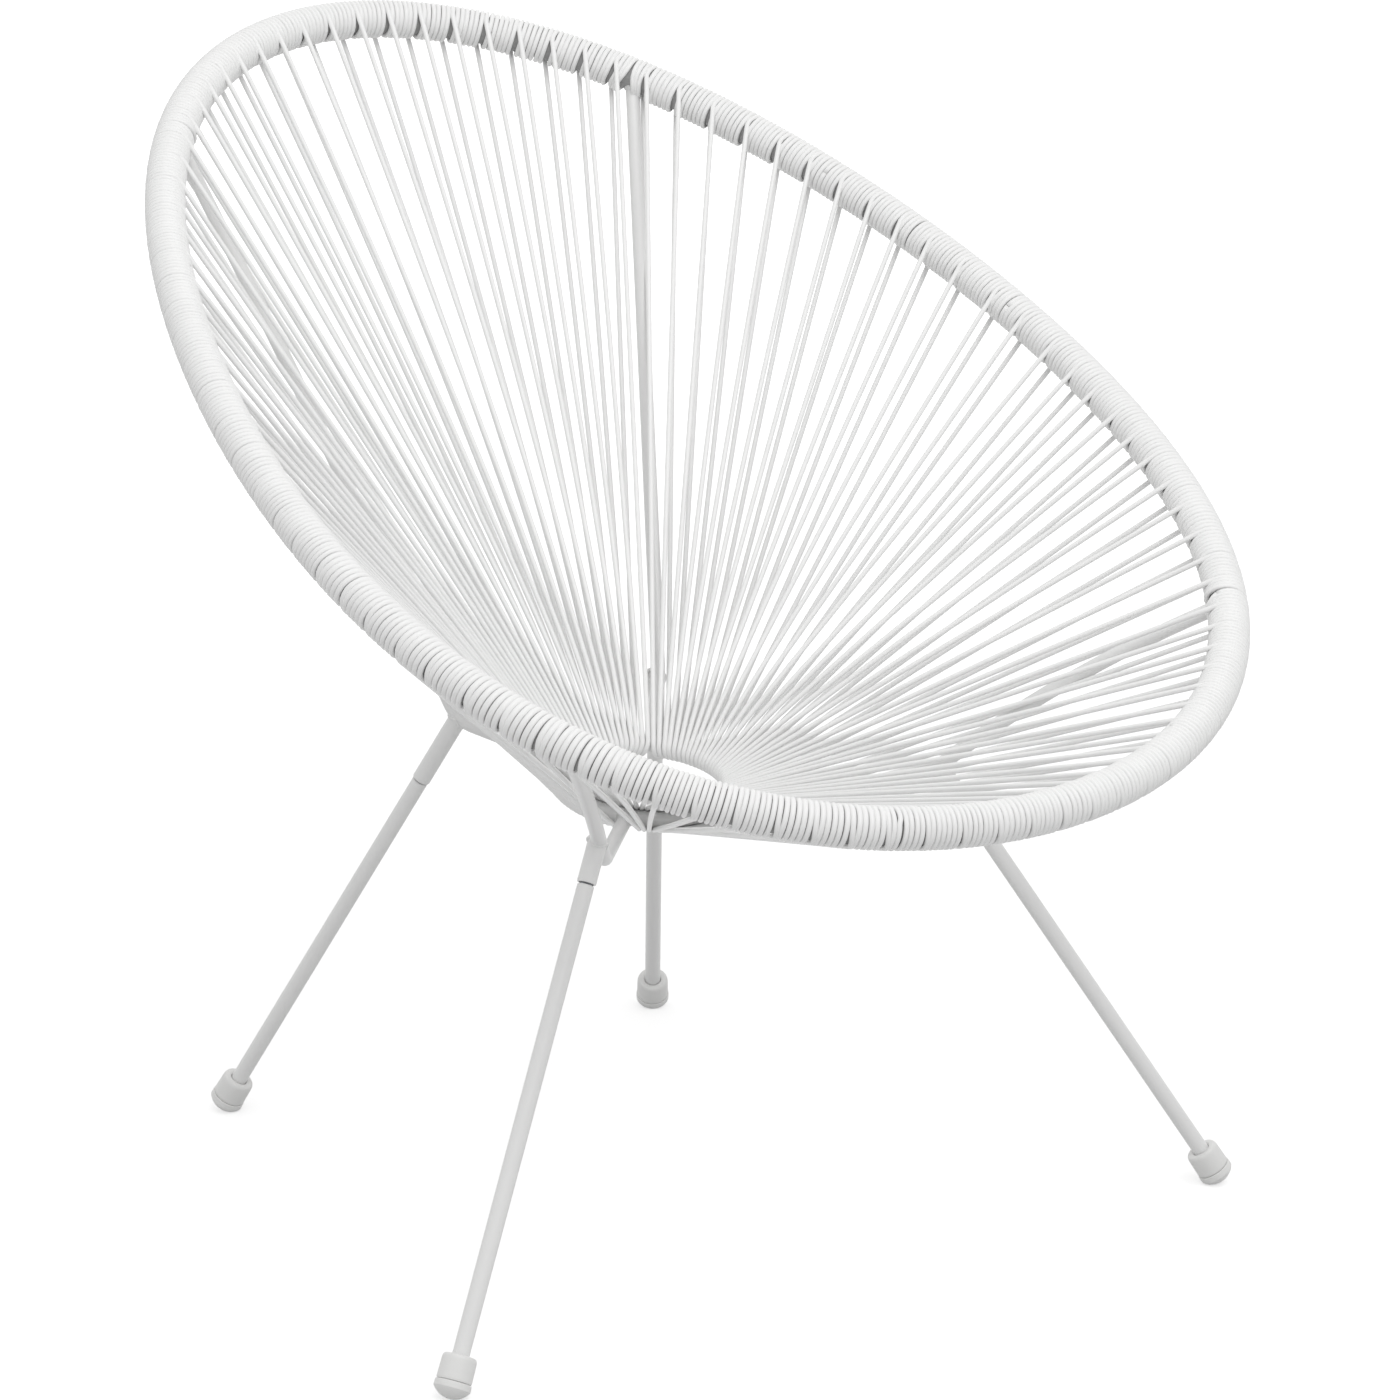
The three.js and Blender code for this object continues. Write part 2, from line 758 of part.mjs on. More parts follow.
function skinLoops(skin, loops) {
  const last = loops.length - 1;
  for (let k = 0; k < last; k += 1) {
    const [here, next] = [loops[k], loops[k + 1]];
    for (let m = 0; m < loopFaces; m += 1) {
      skin.quad(here.outer[m], here.outer[m + 1], next.outer[m + 1], next.outer[m]);
    }
    // between two strands the band's edges that face the rim are closed
    if (k % 2 === 1) {
      skin.quad(here.outer[0], next.outer[0], next.inner[0], here.inner[0]);
      skin.quad(
        here.inner[loopFaces], next.inner[loopFaces], next.outer[loopFaces], here.outer[loopFaces]);
    }
  }
  // the side towards the ring tube, one long face from end to end but for its two edges
  const [start, end] = [loops[0].inner, loops[last].inner];
  for (let m = 1; m < loopFaces - 1; m += 1) {
    skin.quad(start[m], end[m], end[m + 1], start[m + 1]);
  }
  const middle = Math.floor(last / 2);
  const [upper, lower] = [1, loopFaces - 1];
  for (let k = 0; k < last; k += 1) {
    const side = k < middle ? start : end;
    skin.triangle(loops[k].inner[0], loops[k + 1].inner[0], side[upper]);
    skin.triangle(side[lower], loops[k + 1].inner[loopFaces], loops[k].inner[loopFaces]);
  }
  skin.triangle(loops[middle].inner[0], end[upper], start[upper]);
  skin.triangle(start[lower], end[lower], loops[middle].inner[loopFaces]);
  for (let m = 0; m < loopFaces; m += 1) {
    const [a, b] = [loops[0], loops[last]];
    skin.quad(a.outer[m], a.inner[m], a.inner[m + 1], a.outer[m + 1]);
    skin.quad(b.outer[m], b.outer[m + 1], b.inner[m + 1], b.inner[m]);
  }
}

// Each rib comes up to the rim tube through the end of the winding beside it.
const passages = [rear, front].flatMap((quarter) => [-1, 1].map((side) => {
  const [top, below] = ribPoints(quarter).map((point) => mirrored(point, side));
  return clearRod([top, below], ribRadius + seatGap);
}));

// Assembly

addPiece('rim_tube', rimTube(), 'frame');
addPiece('seat_ring', fromSolid(outsideOut(ringTorus(ringTubeRadius))), 'frame');

const quarters = [
  ['back_left', rear, 1],
  ['back_right', rear, -1],
  ['front_left', front, 1],
  ['front_right', front, -1],
];

quarters.forEach(([label, quarter, side]) => {
  addPiece(`frame_rib_${label}`, fromSolid(frameRib(quarter, side)), 'frame');
  addPiece(`leg_socket_${label}`, fromSolid(legSocket(quarter, side)), 'frame');
  addPiece(`threaded_insert_${label}`, fromSolid(threadedInsert(quarter, side)), 'zinc');
  addPiece(`leg_stud_${label}`, fromSolid(legStud(quarter, side)), 'zinc');
  addPiece(`leg_tube_${label}`, fromSolid(legTube(quarter, side)), 'frame');
  addPiece(`foot_cap_${label}`, fromSolid(footCap(quarter, side)), 'cap');
  addPiece(`foot_glide_${label}`, fromSolid(footGlide(quarter, side)), 'cap');
});

panels.forEach((panel) => addPiece(panel.name, fromSolid(lacingPanel(panel)), 'cord'));

export default part;
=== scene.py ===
"""Looks of an acapulco chair: a cord-wound rim, a laced bucket seat, a ribbed frame and four legs."""

import logging
import math
from dataclasses import dataclass, field
from enum import Enum

import bpy
import numpy as np
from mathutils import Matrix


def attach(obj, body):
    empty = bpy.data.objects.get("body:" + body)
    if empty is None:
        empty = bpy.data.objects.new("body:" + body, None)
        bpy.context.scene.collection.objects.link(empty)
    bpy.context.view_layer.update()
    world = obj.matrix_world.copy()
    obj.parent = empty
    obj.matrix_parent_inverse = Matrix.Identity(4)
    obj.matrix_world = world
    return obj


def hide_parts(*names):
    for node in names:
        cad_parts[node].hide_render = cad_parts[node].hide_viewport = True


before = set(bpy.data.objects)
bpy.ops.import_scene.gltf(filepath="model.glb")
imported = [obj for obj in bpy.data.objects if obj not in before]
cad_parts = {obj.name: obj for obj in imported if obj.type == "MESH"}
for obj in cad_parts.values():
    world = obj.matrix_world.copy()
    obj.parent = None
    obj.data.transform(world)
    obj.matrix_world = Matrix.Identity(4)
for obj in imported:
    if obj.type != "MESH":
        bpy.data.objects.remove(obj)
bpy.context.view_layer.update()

log = logging.getLogger("acapulco_chair")

MM = 0.001
FULL_TURN = 2 * math.pi
SIDEWAYS = np.array([1.0, 0.0, 0.0])
BACKWARDS = np.array([0.0, 1.0, 0.0])
UPRIGHT = np.array([0.0, 0.0, 1.0])
WHITE = (1.0, 1.0, 1.0, 1.0)

# Angles in degrees over which edges stay sharp: on legs and inserts, and on sockets and feet.
BAR_CREASE = 40.0
CUP_CREASE = 50.0

# A stretch of cord: its points, their outward directions, and width over thickness at each.
Stretch = tuple[np.ndarray, ...]


def unit(vectors: np.ndarray) -> np.ndarray:
    """Each vector along the last axis divided by its length."""
    return vectors / np.linalg.norm(vectors, axis=-1, keepdims=True)


def dot(first: np.ndarray, second: np.ndarray) -> np.ndarray:
    """Scalar products along the last axis, which is kept."""
    return np.sum(first * second, -1, keepdims=True)


def square_to(vectors: np.ndarray, axis: np.ndarray) -> np.ndarray:
    """The part of each vector that is square to a unit axis."""
    return vectors - axis * dot(vectors, axis)


def circle(sides: int, first: np.ndarray, other: np.ndarray) -> np.ndarray:
    """At even angles t, cos t of the first direction plus sin t of the other, for each pair."""
    turn = FULL_TURN * np.arange(sides)[:, None] / sides
    return np.cos(turn) * first[..., None, :] + np.sin(turn) * other[..., None, :]


def leaning(tilt: float) -> tuple[np.ndarray, np.ndarray]:
    """Uphill direction and normal of a plane that rises towards the back by an angle."""
    run, rise = math.cos(tilt), math.sin(tilt)
    return np.array([0.0, run, rise]), np.array([0.0, -rise, run])


def smooth(share: np.ndarray) -> np.ndarray:
    """A share from 0 to 1, eased at both ends by the cubic 3 t squared less 2 t cubed."""
    return share * share * (3 - 2 * share)


def middles(low: float, high: float, count: int) -> np.ndarray:
    """Middle of each of several equal steps from low to high."""
    return low + (high - low) * (np.arange(count) + 0.5) / count


@dataclass(frozen=True)
class Finish:
    """One finish: its class of surface, colour, and the size and strength of its unevenness."""

    name: str
    slot: str
    colour: tuple[float, float, float]
    roughness: float
    roughness_spread: float
    metallic: float = 0.0
    drift: float = 0.03
    drift_scale: float = 9.0
    grain_scale: float = 900.0
    grain_depth: float = 0.00002
    grain_strength: float = 0.25
    dust: float = 0.0
    streaks: bool = False


CORD = Finish(
    name="cord_plastic",
    slot="cord_white",
    colour=(0.93, 0.93, 0.926),
    roughness=0.4,
    roughness_spread=0.12,
    drift=0.035,
    drift_scale=14.0,
    grain_scale=1400.0,
    grain_strength=0.16,
    dust=0.03,
    streaks=True,
)
POWDER_COAT = Finish(
    name="powder_coat",
    slot="frame_white",
    colour=(0.85, 0.85, 0.845),
    roughness=0.38,
    roughness_spread=0.1,
    drift=0.02,
    grain_scale=520.0,
    grain_strength=0.22,
    dust=0.02,
)
# The rim tube's colour is painted shade: a dark grey that stands for the shadow in the narrow gaps
# between the cord's turns.
TUBE_PAINTED_SHADE = Finish(
    name="tube_painted_shade",
    slot="frame_white",
    colour=(0.38, 0.38, 0.38),
    roughness=0.6,
    roughness_spread=0.1,
    drift=0.1,
    grain_scale=520.0,
    grain_strength=0.2,
    dust=0.1,
)
CAP_PLASTIC = Finish(
    name="moulded_cap",
    slot="cap_white",
    colour=(0.82, 0.82, 0.81),
    roughness=0.46,
    roughness_spread=0.14,
    drift_scale=30.0,
    grain_scale=1800.0,
    grain_strength=0.2,
    dust=0.04,
)
# Zinc-plated steel given a dark grey as painted shade, so that the gap between each leg and its
# socket reads as a dark line.
ZINC_PAINTED_SHADE = Finish(
    name="zinc_painted_shade",
    slot="zinc_steel",
    colour=(0.3, 0.31, 0.33),
    roughness=0.42,
    roughness_spread=0.15,
    metallic=1.0,
    drift=0.08,
    drift_scale=60.0,
    grain_strength=0.3,
)


@dataclass(frozen=True)
class Wiring:
    """A node tree, with a short way to put nodes into it."""

    tree: bpy.types.NodeTree

    @classmethod
    def emptied(cls, owner: bpy.types.ID) -> "Wiring":
        """The node tree of a material or world, with nothing in it.

        Args:
            owner: The material or world.

        Returns:
            The wiring of its tree.
        """
        owner.use_nodes = True
        owner.node_tree.nodes.clear()
        return cls(owner.node_tree)

    def add(self, kind: str, inputs: dict[str | int, object], **settings: object) -> bpy.types.Node:
        """Adds a node, sets it and feeds its sockets.

        Args:
            kind: The node's type, without the words that all shader nodes start with.
            inputs: For each socket, by name or number, its value or the output that feeds it.
            settings: Properties of the node itself, such as its operation.

        Returns:
            The node.
        """
        node = self.tree.nodes.new(kind if kind.startswith("NodeGroup") else f"ShaderNode{kind}")
        for name, value in settings.items():
            setattr(node, name, value)
        for socket, value in inputs.items():
            if isinstance(value, bpy.types.NodeSocket):
                self.tree.links.new(value, node.inputs[socket])
            else:
                node.inputs[socket].default_value = value
        return node

    def math(self, operation: str, *values: object) -> bpy.types.NodeSocket:
        """The result of a Math node on values or outputs."""
        return self.add("Math", dict(enumerate(values)), operation=operation).outputs[0]

    def noise(
        self, vector: bpy.types.NodeSocket, scale: object, detail: float, roughness: float = 0.5
    ) -> bpy.types.NodeSocket:
        """The mask of a Noise Texture.

        Args:
            vector: The coordinates that it reads.
            scale: A value or an output.
            detail: Number of finer layers.
            roughness: Strength of each layer next to the coarser one.

        Returns:
            The output that holds the mask.
        """
        inputs = {"Vector": vector, "Scale": scale, "Detail": detail, "Roughness": roughness}
        return self.add("TexNoise", inputs).outputs["Fac"]


class ShaderGroups:
    """Shader node groups that the finishes share, each built once."""

    KINDS: dict[str, str] = {"Vector": "NodeSocketVector", "Colour": "NodeSocketColor"}
    DRIFT_DETAIL: float = 3.0
    DRIFT_ROUGHNESS: float = 0.55
    FINE_DETAIL: float = 2.0
    COARSE_DETAIL: float = 1.0
    COARSE_SCALE: float = 0.2
    DUST_COLOUR: tuple[float, ...] = (0.55, 0.53, 0.49, 1.0)
    DUST_SCALE: float = 45.0
    DUST_DETAIL: float = 4.0
    DUST_SLOPE: float = 0.1
    STREAK_SCALE: tuple[float, ...] = (6.0, 26.0, 1.0)
    STREAK_DETAIL: float = 2.0
    STREAK_SHARE: float = 1.2

    def __init__(self) -> None:
        """Builds the three groups."""
        self.drift = self.build_drift()
        self.grain = self.build_grain()
        self.dust = self.build_dust()

    def start(
        self, name: str, inputs: tuple[str, ...], outputs: tuple[str, ...]
    ) -> tuple[Wiring, bpy.types.NodeOutputs]:
        """An empty group with named sockets, which are numbers where KINDS names no other kind.

        Args:
            name: The group's name.
            inputs: Names of what is put in.
            outputs: Names of what comes out.

        Returns:
            The group's wiring, and the outputs that give what is put in.
        """
        tree = bpy.data.node_groups.new(name, "ShaderNodeTree")
        for side, sockets in (("INPUT", inputs), ("OUTPUT", outputs)):
            for socket in sockets:
                kind = self.KINDS.get(socket, "NodeSocketFloat")
                tree.interface.new_socket(name=socket, in_out=side, socket_type=kind)
        wiring = Wiring(tree)
        return wiring, wiring.add("NodeGroupInput", {}).outputs

    def build_drift(self) -> bpy.types.NodeTree:
        """Slow change of tone over the object.

        Formula: the colour's value is 1 less the amount times soft noise, and the noise is also
        given out as a mask.

        Returns:
            The group.
        """
        group, given = self.start(
            "tone_drift", ("Vector", "Colour", "Amount", "Scale"), ("Colour", "Mask")
        )
        noise = group.noise(
            given["Vector"], given["Scale"], self.DRIFT_DETAIL, self.DRIFT_ROUGHNESS
        )
        value = group.math("SUBTRACT", 1.0, group.math("MULTIPLY", noise, given["Amount"]))
        darker = group.add("HueSaturation", {"Value": value, "Color": given["Colour"]})
        group.add("NodeGroupOutput", {"Colour": darker.outputs["Color"], "Mask": noise})
        return group.tree

    def build_grain(self) -> bpy.types.NodeTree:
        """Fine unevenness: a height that adds noise of two sizes, one five times the other.

        Returns:
            The group.
        """
        group, given = self.start("fine_grain", ("Vector", "Scale"), ("Height",))
        fine = group.noise(given["Vector"], given["Scale"], self.FINE_DETAIL)
        fifth = group.math("MULTIPLY", given["Scale"], self.COARSE_SCALE)
        coarse = group.noise(given["Vector"], fifth, self.COARSE_DETAIL)
        group.add("NodeGroupOutput", {"Height": group.math("ADD", fine, coarse)})
        return group.tree

    def build_dust(self) -> bpy.types.NodeTree:
        """Settled dust: its colour on faces that look up, broken by noise, times the amount.

        Returns:
            The group.
        """
        group, given = self.start("settled_dust", ("Vector", "Colour", "Amount"), ("Colour",))
        shape = group.add("NewGeometry", {})
        parts = group.add("SeparateXYZ", {0: shape.outputs["Normal"]})
        slope = {"Value": parts.outputs["Z"], "From Min": self.DUST_SLOPE}
        facing = group.add("MapRange", slope).outputs[0]
        noise = group.noise(given["Vector"], self.DUST_SCALE, self.DUST_DETAIL)
        broken = group.math("MULTIPLY", facing, noise)
        amount = group.math("MULTIPLY", broken, given["Amount"])
        mix = group.add(
            "Mix", {0: amount, 6: given["Colour"], 7: self.DUST_COLOUR}, data_type="RGBA"
        )
        group.add("NodeGroupOutput", {"Colour": mix.outputs[2]})
        return group.tree

    def make_material(self, finish: Finish) -> None:
        """Makes the procedural material of one finish, under the finish's name.

        The bump is fine grain and, on the cord, the lines that extrusion leaves along it: noise
        on the UV map, stretched along the cord.

        Args:
            finish: Colour, gloss and unevenness.
        """
        wiring = Wiring.emptied(bpy.data.materials.new(finish.name))
        places = wiring.add("TexCoord", {}).outputs
        here = places["Object"]
        toned = {
            "Vector": here,
            "Colour": (*finish.colour, 1.0),
            "Amount": finish.drift,
            "Scale": finish.drift_scale,
        }
        drift = wiring.add("Group", toned, node_tree=self.drift).outputs
        dusty = {"Vector": here, "Colour": drift["Colour"], "Amount": finish.dust}
        dust = wiring.add("Group", dusty, node_tree=self.dust)
        low, high = (finish.roughness + side * finish.roughness_spread / 2 for side in (-1, 1))
        gloss = wiring.add("MapRange", {"Value": drift["Mask"], "To Min": low, "To Max": high})
        grained = {"Vector": here, "Scale": finish.grain_scale}
        height = wiring.add("Group", grained, node_tree=self.grain).outputs["Height"]
        if finish.streaks:
            along = wiring.add("Mapping", {"Vector": places["UV"], "Scale": self.STREAK_SCALE})
            lines = wiring.noise(along.outputs["Vector"], 1.0, self.STREAK_DETAIL)
            height = wiring.math("MULTIPLY_ADD", lines, self.STREAK_SHARE, height)
        rough = {
            "Strength": finish.grain_strength,
            "Distance": finish.grain_depth,
            "Height": height,
        }
        surface = {
            "Base Color": dust.outputs["Colour"],
            "Roughness": gloss.outputs[0],
            "Metallic": finish.metallic,
            "Normal": wiring.add("Bump", rough).outputs["Normal"],
        }
        shader = wiring.add("BsdfPrincipled", surface)
        wiring.add("OutputMaterial", {"Surface": shader.outputs[0]})


@dataclass
class Surface:
    """A closed surface worked out on a grid: rings of points in millimetres.

    Args:
        points: Array of rings by sides by three.
        wrap_rings: Whether the last ring joins the first; if not, both ends are capped.
        uv: Optional array of rings by sides by two, kept as the piece's UV map.
    """

    points: np.ndarray
    wrap_rings: bool = False
    uv: np.ndarray | None = None

    def faces(self) -> tuple[np.ndarray, list[list[int]]]:
        """Points, and faces that point outwards.

        Formula: neighbouring points of neighbouring rings make a face, and all faces are turned
        over if the volume that they enclose comes out negative.

        Returns:
            The points in one row, and the point numbers of each face.
        """
        rings, sides, _ = self.points.shape
        flat = self.points.reshape(-1, 3)
        here = sides * np.arange(rings if self.wrap_rings else rings - 1)[:, None]
        there = (here + sides) % len(flat)
        j = np.arange(sides)
        k = (j + 1) % sides
        quads = np.stack([here + j, here + k, there + k, there + j], -1).reshape(-1, 4)
        order = list(range(len(flat)))
        ends = [] if self.wrap_rings else [order[:sides][::-1], order[-sides:]]
        a, b, c, d = flat[quads].transpose(1, 0, 2)
        volume = np.sum(a * (np.cross(b, c) + np.cross(c, d)))
        for end in ends:
            loop = flat[end]
            volume += np.sum(loop[0] * np.cross(loop[1:-1], loop[2:]))
        listed = quads.tolist() + ends
        return flat, [face[::-1] for face in listed] if volume < 0 else listed


def build_piece(
    name: str, surfaces: list[Surface], finish: Finish, node: str, crease: float | None = None
) -> None:
    """Makes one mesh object of several surfaces, and hands it to the frame.

    Args:
        name: The object's name. It sits at the origin, unturned and unscaled.
        surfaces: Closed surfaces, in millimetres in the part's frame.
        finish: The finish, whose material is there already.
        node: The CAD node that the piece stands for.
        crease: Angle in degrees over which an edge stays sharp, or None for none.
    """
    points: list[np.ndarray] = []
    faces: list[list[int]] = []
    for surface in surfaces:
        flat, listed = surface.faces()
        first = sum(map(len, points))
        faces += [[corner + first for corner in face] for face in listed]
        points.append(flat)
    mesh = bpy.data.meshes.new(name)
    mesh.from_pydata((np.concatenate(points) * MM).tolist(), [], faces)
    mesh.update()
    mesh.shade_smooth()
    if crease is not None:
        mesh.set_sharp_from_angle(angle=math.radians(crease))
    if surfaces[0].uv is not None:
        texture = np.concatenate([surface.uv.reshape(-1, 2) for surface in surfaces])
        corners = np.zeros(len(mesh.loops), np.int32)
        mesh.loops.foreach_get("vertex_index", corners)
        layer = mesh.uv_layers.new(name="along_cord")
        layer.data.foreach_set("uv", texture[corners].astype(np.float32).ravel())
    piece = bpy.data.objects.new(name, mesh)
    bpy.context.scene.collection.objects.link(piece)
    mesh.materials.append(bpy.data.materials[finish.name])
    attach(piece, "root")
    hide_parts(node)
    log.info("%s: %d faces, stands for %s", name, len(faces), node)


def sweep(
    path: np.ndarray, normals: np.ndarray, radius: float, sides: int, widen: np.ndarray | float = 1.0
) -> Surface:
    """A round or slightly flattened cord or rod along a path.

    Formula: at each point of the path the section is radius times (cos t of the normal plus
    sin t of the binormal), where the normal is squared to the path's own direction and the
    binormal is stretched by widen.

    Args:
        path: Points of the centre line.
        normals: One direction for each point, not along the path.
        radius: Half the rod's thickness.
        sides: Points round the section.
        widen: Width over thickness, one for all points or one for each.

    Returns:
        The rod, with a UV map of metres along it by turns round it.
    """
    along = unit(np.gradient(path, axis=0))
    square = unit(square_to(normals, along))
    other = np.cross(along, square) * np.reshape(widen, (-1, 1))
    length = np.concatenate([[0.0], np.cumsum(np.linalg.norm(np.diff(path, axis=0), axis=1))])
    uv = np.stack(np.broadcast_arrays(length[:, None] * MM, np.arange(sides) / sides), -1)
    return Surface(path[:, None, :] + radius * circle(sides, square, other), uv=uv)


def closed_tube(
    path: np.ndarray, first: np.ndarray, other: np.ndarray, radius: np.ndarray | float, sides: int
) -> Surface:
    """A tube round a closed path.

    Formula: each point of the path carries a circle of the radius in the plane of its two
    directions.

    Args:
        path: Points of the centre line.
        first: Direction square to the path, one or one for each point.
        other: Direction square to both.
        radius: The tube's radius, one or one for each point.
        sides: Points round the section.

    Returns:
        The tube, without ends.
    """
    size = np.reshape(radius, (-1, 1, 1))
    return Surface(path[:, None, :] + size * circle(sides, first, other), wrap_rings=True)


def rounded(corners: list[tuple[float, float, float]], steps: int = 5) -> np.ndarray:
    """A profile whose corners are rounded.

    Formula: each corner becomes a quadratic curve between the points that lie its rounding
    before and after it, with the corner as the middle control point.

    Args:
        corners: Radius, height and rounding of each corner; zero keeps the corner.
        steps: Points in each rounded corner.

    Returns:
        Rows of radius and height.
    """
    table = np.array(corners, float)
    points = table[:, :2]
    t = np.linspace(0.0, 1.0, steps)[:, None]
    rows: list[np.ndarray] = []
    for k, (corner, rounding) in enumerate(zip(points, table[:, 2])):
        if rounding == 0:
            rows.append(corner[None])
            continue
        before, after = points[k - 1] - corner, points[k + 1] - corner
        start = corner + before * min(rounding / np.linalg.norm(before), 0.5)
        end = corner + after * min(rounding / np.linalg.norm(after), 0.5)
        rows.append((1 - t) ** 2 * start + 2 * t * (1 - t) * corner + t**2 * end)
    return np.concatenate(rows)


@dataclass(frozen=True)
class RimShape:
    """The rim's centre line: an egg-shaped loop in a plane that leans back, in millimetres."""

    half_width: float = 362.0
    half_length: float = 502.0
    tilt: float = math.radians(24.1)
    centre_height: float = 631.5
    tube_radius: float = 11.5
    egg_share: float = -0.152
    shoulder_share: float = 0.036
    samples: int = 20001
    angle_step: float = 1e-4

    @property
    def normal(self) -> np.ndarray:
        """Direction square to the rim's plane, up and forwards."""
        return leaning(self.tilt)[1]

    def place(self, angle: np.ndarray) -> np.ndarray:
        """Points of the centre line.

        Formula: the width is half_width sin a (1 + egg cos a + shoulder cos 2a), and the reach
        up the slope is half_length cos a.

        Args:
            angle: Angles from the top of the back, growing towards +X.

        Returns:
            Array whose last axis is x, y and z.
        """
        a = np.asarray(angle, float)[..., None]
        width = self.half_width * np.sin(a)
        width = width * (1 + self.egg_share * np.cos(a) + self.shoulder_share * np.cos(2 * a))
        middle = self.centre_height * UPRIGHT
        return middle + width * SIDEWAYS + self.half_length * np.cos(a) * leaning(self.tilt)[0]

    def lengths(self) -> tuple[np.ndarray, np.ndarray]:
        """How angle and length along the rim go together.

        Returns:
            Angles of many samples, and the length along the rim up to each.
        """
        angles = np.linspace(0.0, FULL_TURN, self.samples)
        steps = np.linalg.norm(np.diff(self.place(angles), axis=0), axis=1)
        return angles, np.concatenate([[0.0], np.cumsum(steps)])

    def length_to(self, angle: float) -> float:
        """Length along the rim from the top of the back to an angle."""
        return float(np.interp(angle, *self.lengths()))

    def total(self) -> float:
        """Length of the whole rim."""
        return float(self.lengths()[1][-1])

    def at(self, length: np.ndarray | float) -> tuple[np.ndarray, np.ndarray, np.ndarray]:
        """Place, direction and inward direction at lengths along the rim.

        Args:
            length: Millimetres from the top of the back; it may run past the whole rim.

        Returns:
            Three arrays whose last axis is x, y and z.
        """
        angles, along_rim = self.lengths()
        angle = np.interp(np.mod(length, along_rim[-1]), along_rim, angles)
        along = unit(self.place(angle + self.angle_step) - self.place(angle - self.angle_step))
        return self.place(angle), along, np.cross(along, self.normal)


@dataclass(frozen=True)
class RingShape:
    """The seat ring's centre line: a small circle that tilts a little, in millimetres."""

    radius: float = 66.0
    tube_radius: float = 6.0
    tilt: float = math.radians(8.5)
    set_back: float = 17.0
    height: float = 320.0

    @property
    def axis(self) -> np.ndarray:
        """Direction square to the ring's plane."""
        return leaning(self.tilt)[1]

    def at(self, bearing: np.ndarray | float) -> tuple[np.ndarray, np.ndarray, np.ndarray]:
        """Place, direction and outward direction at bearings.

        Args:
            bearing: Bearings from the back, growing towards +X.

        Returns:
            Three arrays whose last axis is x, y and z.
        """
        b = np.asarray(bearing, float)[..., None]
        uphill = leaning(self.tilt)[0]
        outward = np.sin(b) * SIDEWAYS + np.cos(b) * uphill
        along = np.cos(b) * SIDEWAYS - np.sin(b) * uphill
        centre = self.set_back * BACKWARDS + self.height * UPRIGHT
        return centre + self.radius * outward, along, outward


RIM = RimShape()
RING = RingShape()


@dataclass(frozen=True)
class LegLine:
    """A leg's slanting axis: its point on the floor and its direction up."""

    ground: np.ndarray
    up: np.ndarray

    def around(self, sides: int) -> np.ndarray:
        """Directions square to the axis, at even angles round it."""
        across = unit(np.cross(self.up, BACKWARDS))
        return circle(sides, across, np.cross(self.up, across))

    def turned(self, profile: np.ndarray, sides: int) -> Surface:
        """A turned piece on the axis.

        Formula: a profile point (r, h) becomes the ground point plus h times up plus r times
        each direction round the axis.

        Args:
            profile: Rows of radius and height along the axis, in millimetres.
            sides: Points round the piece.

        Returns:
            The turned surface.
        """
        radius, height = profile.T[:, :, None, None]
        return Surface(self.ground + height * self.up + radius * self.around(sides))


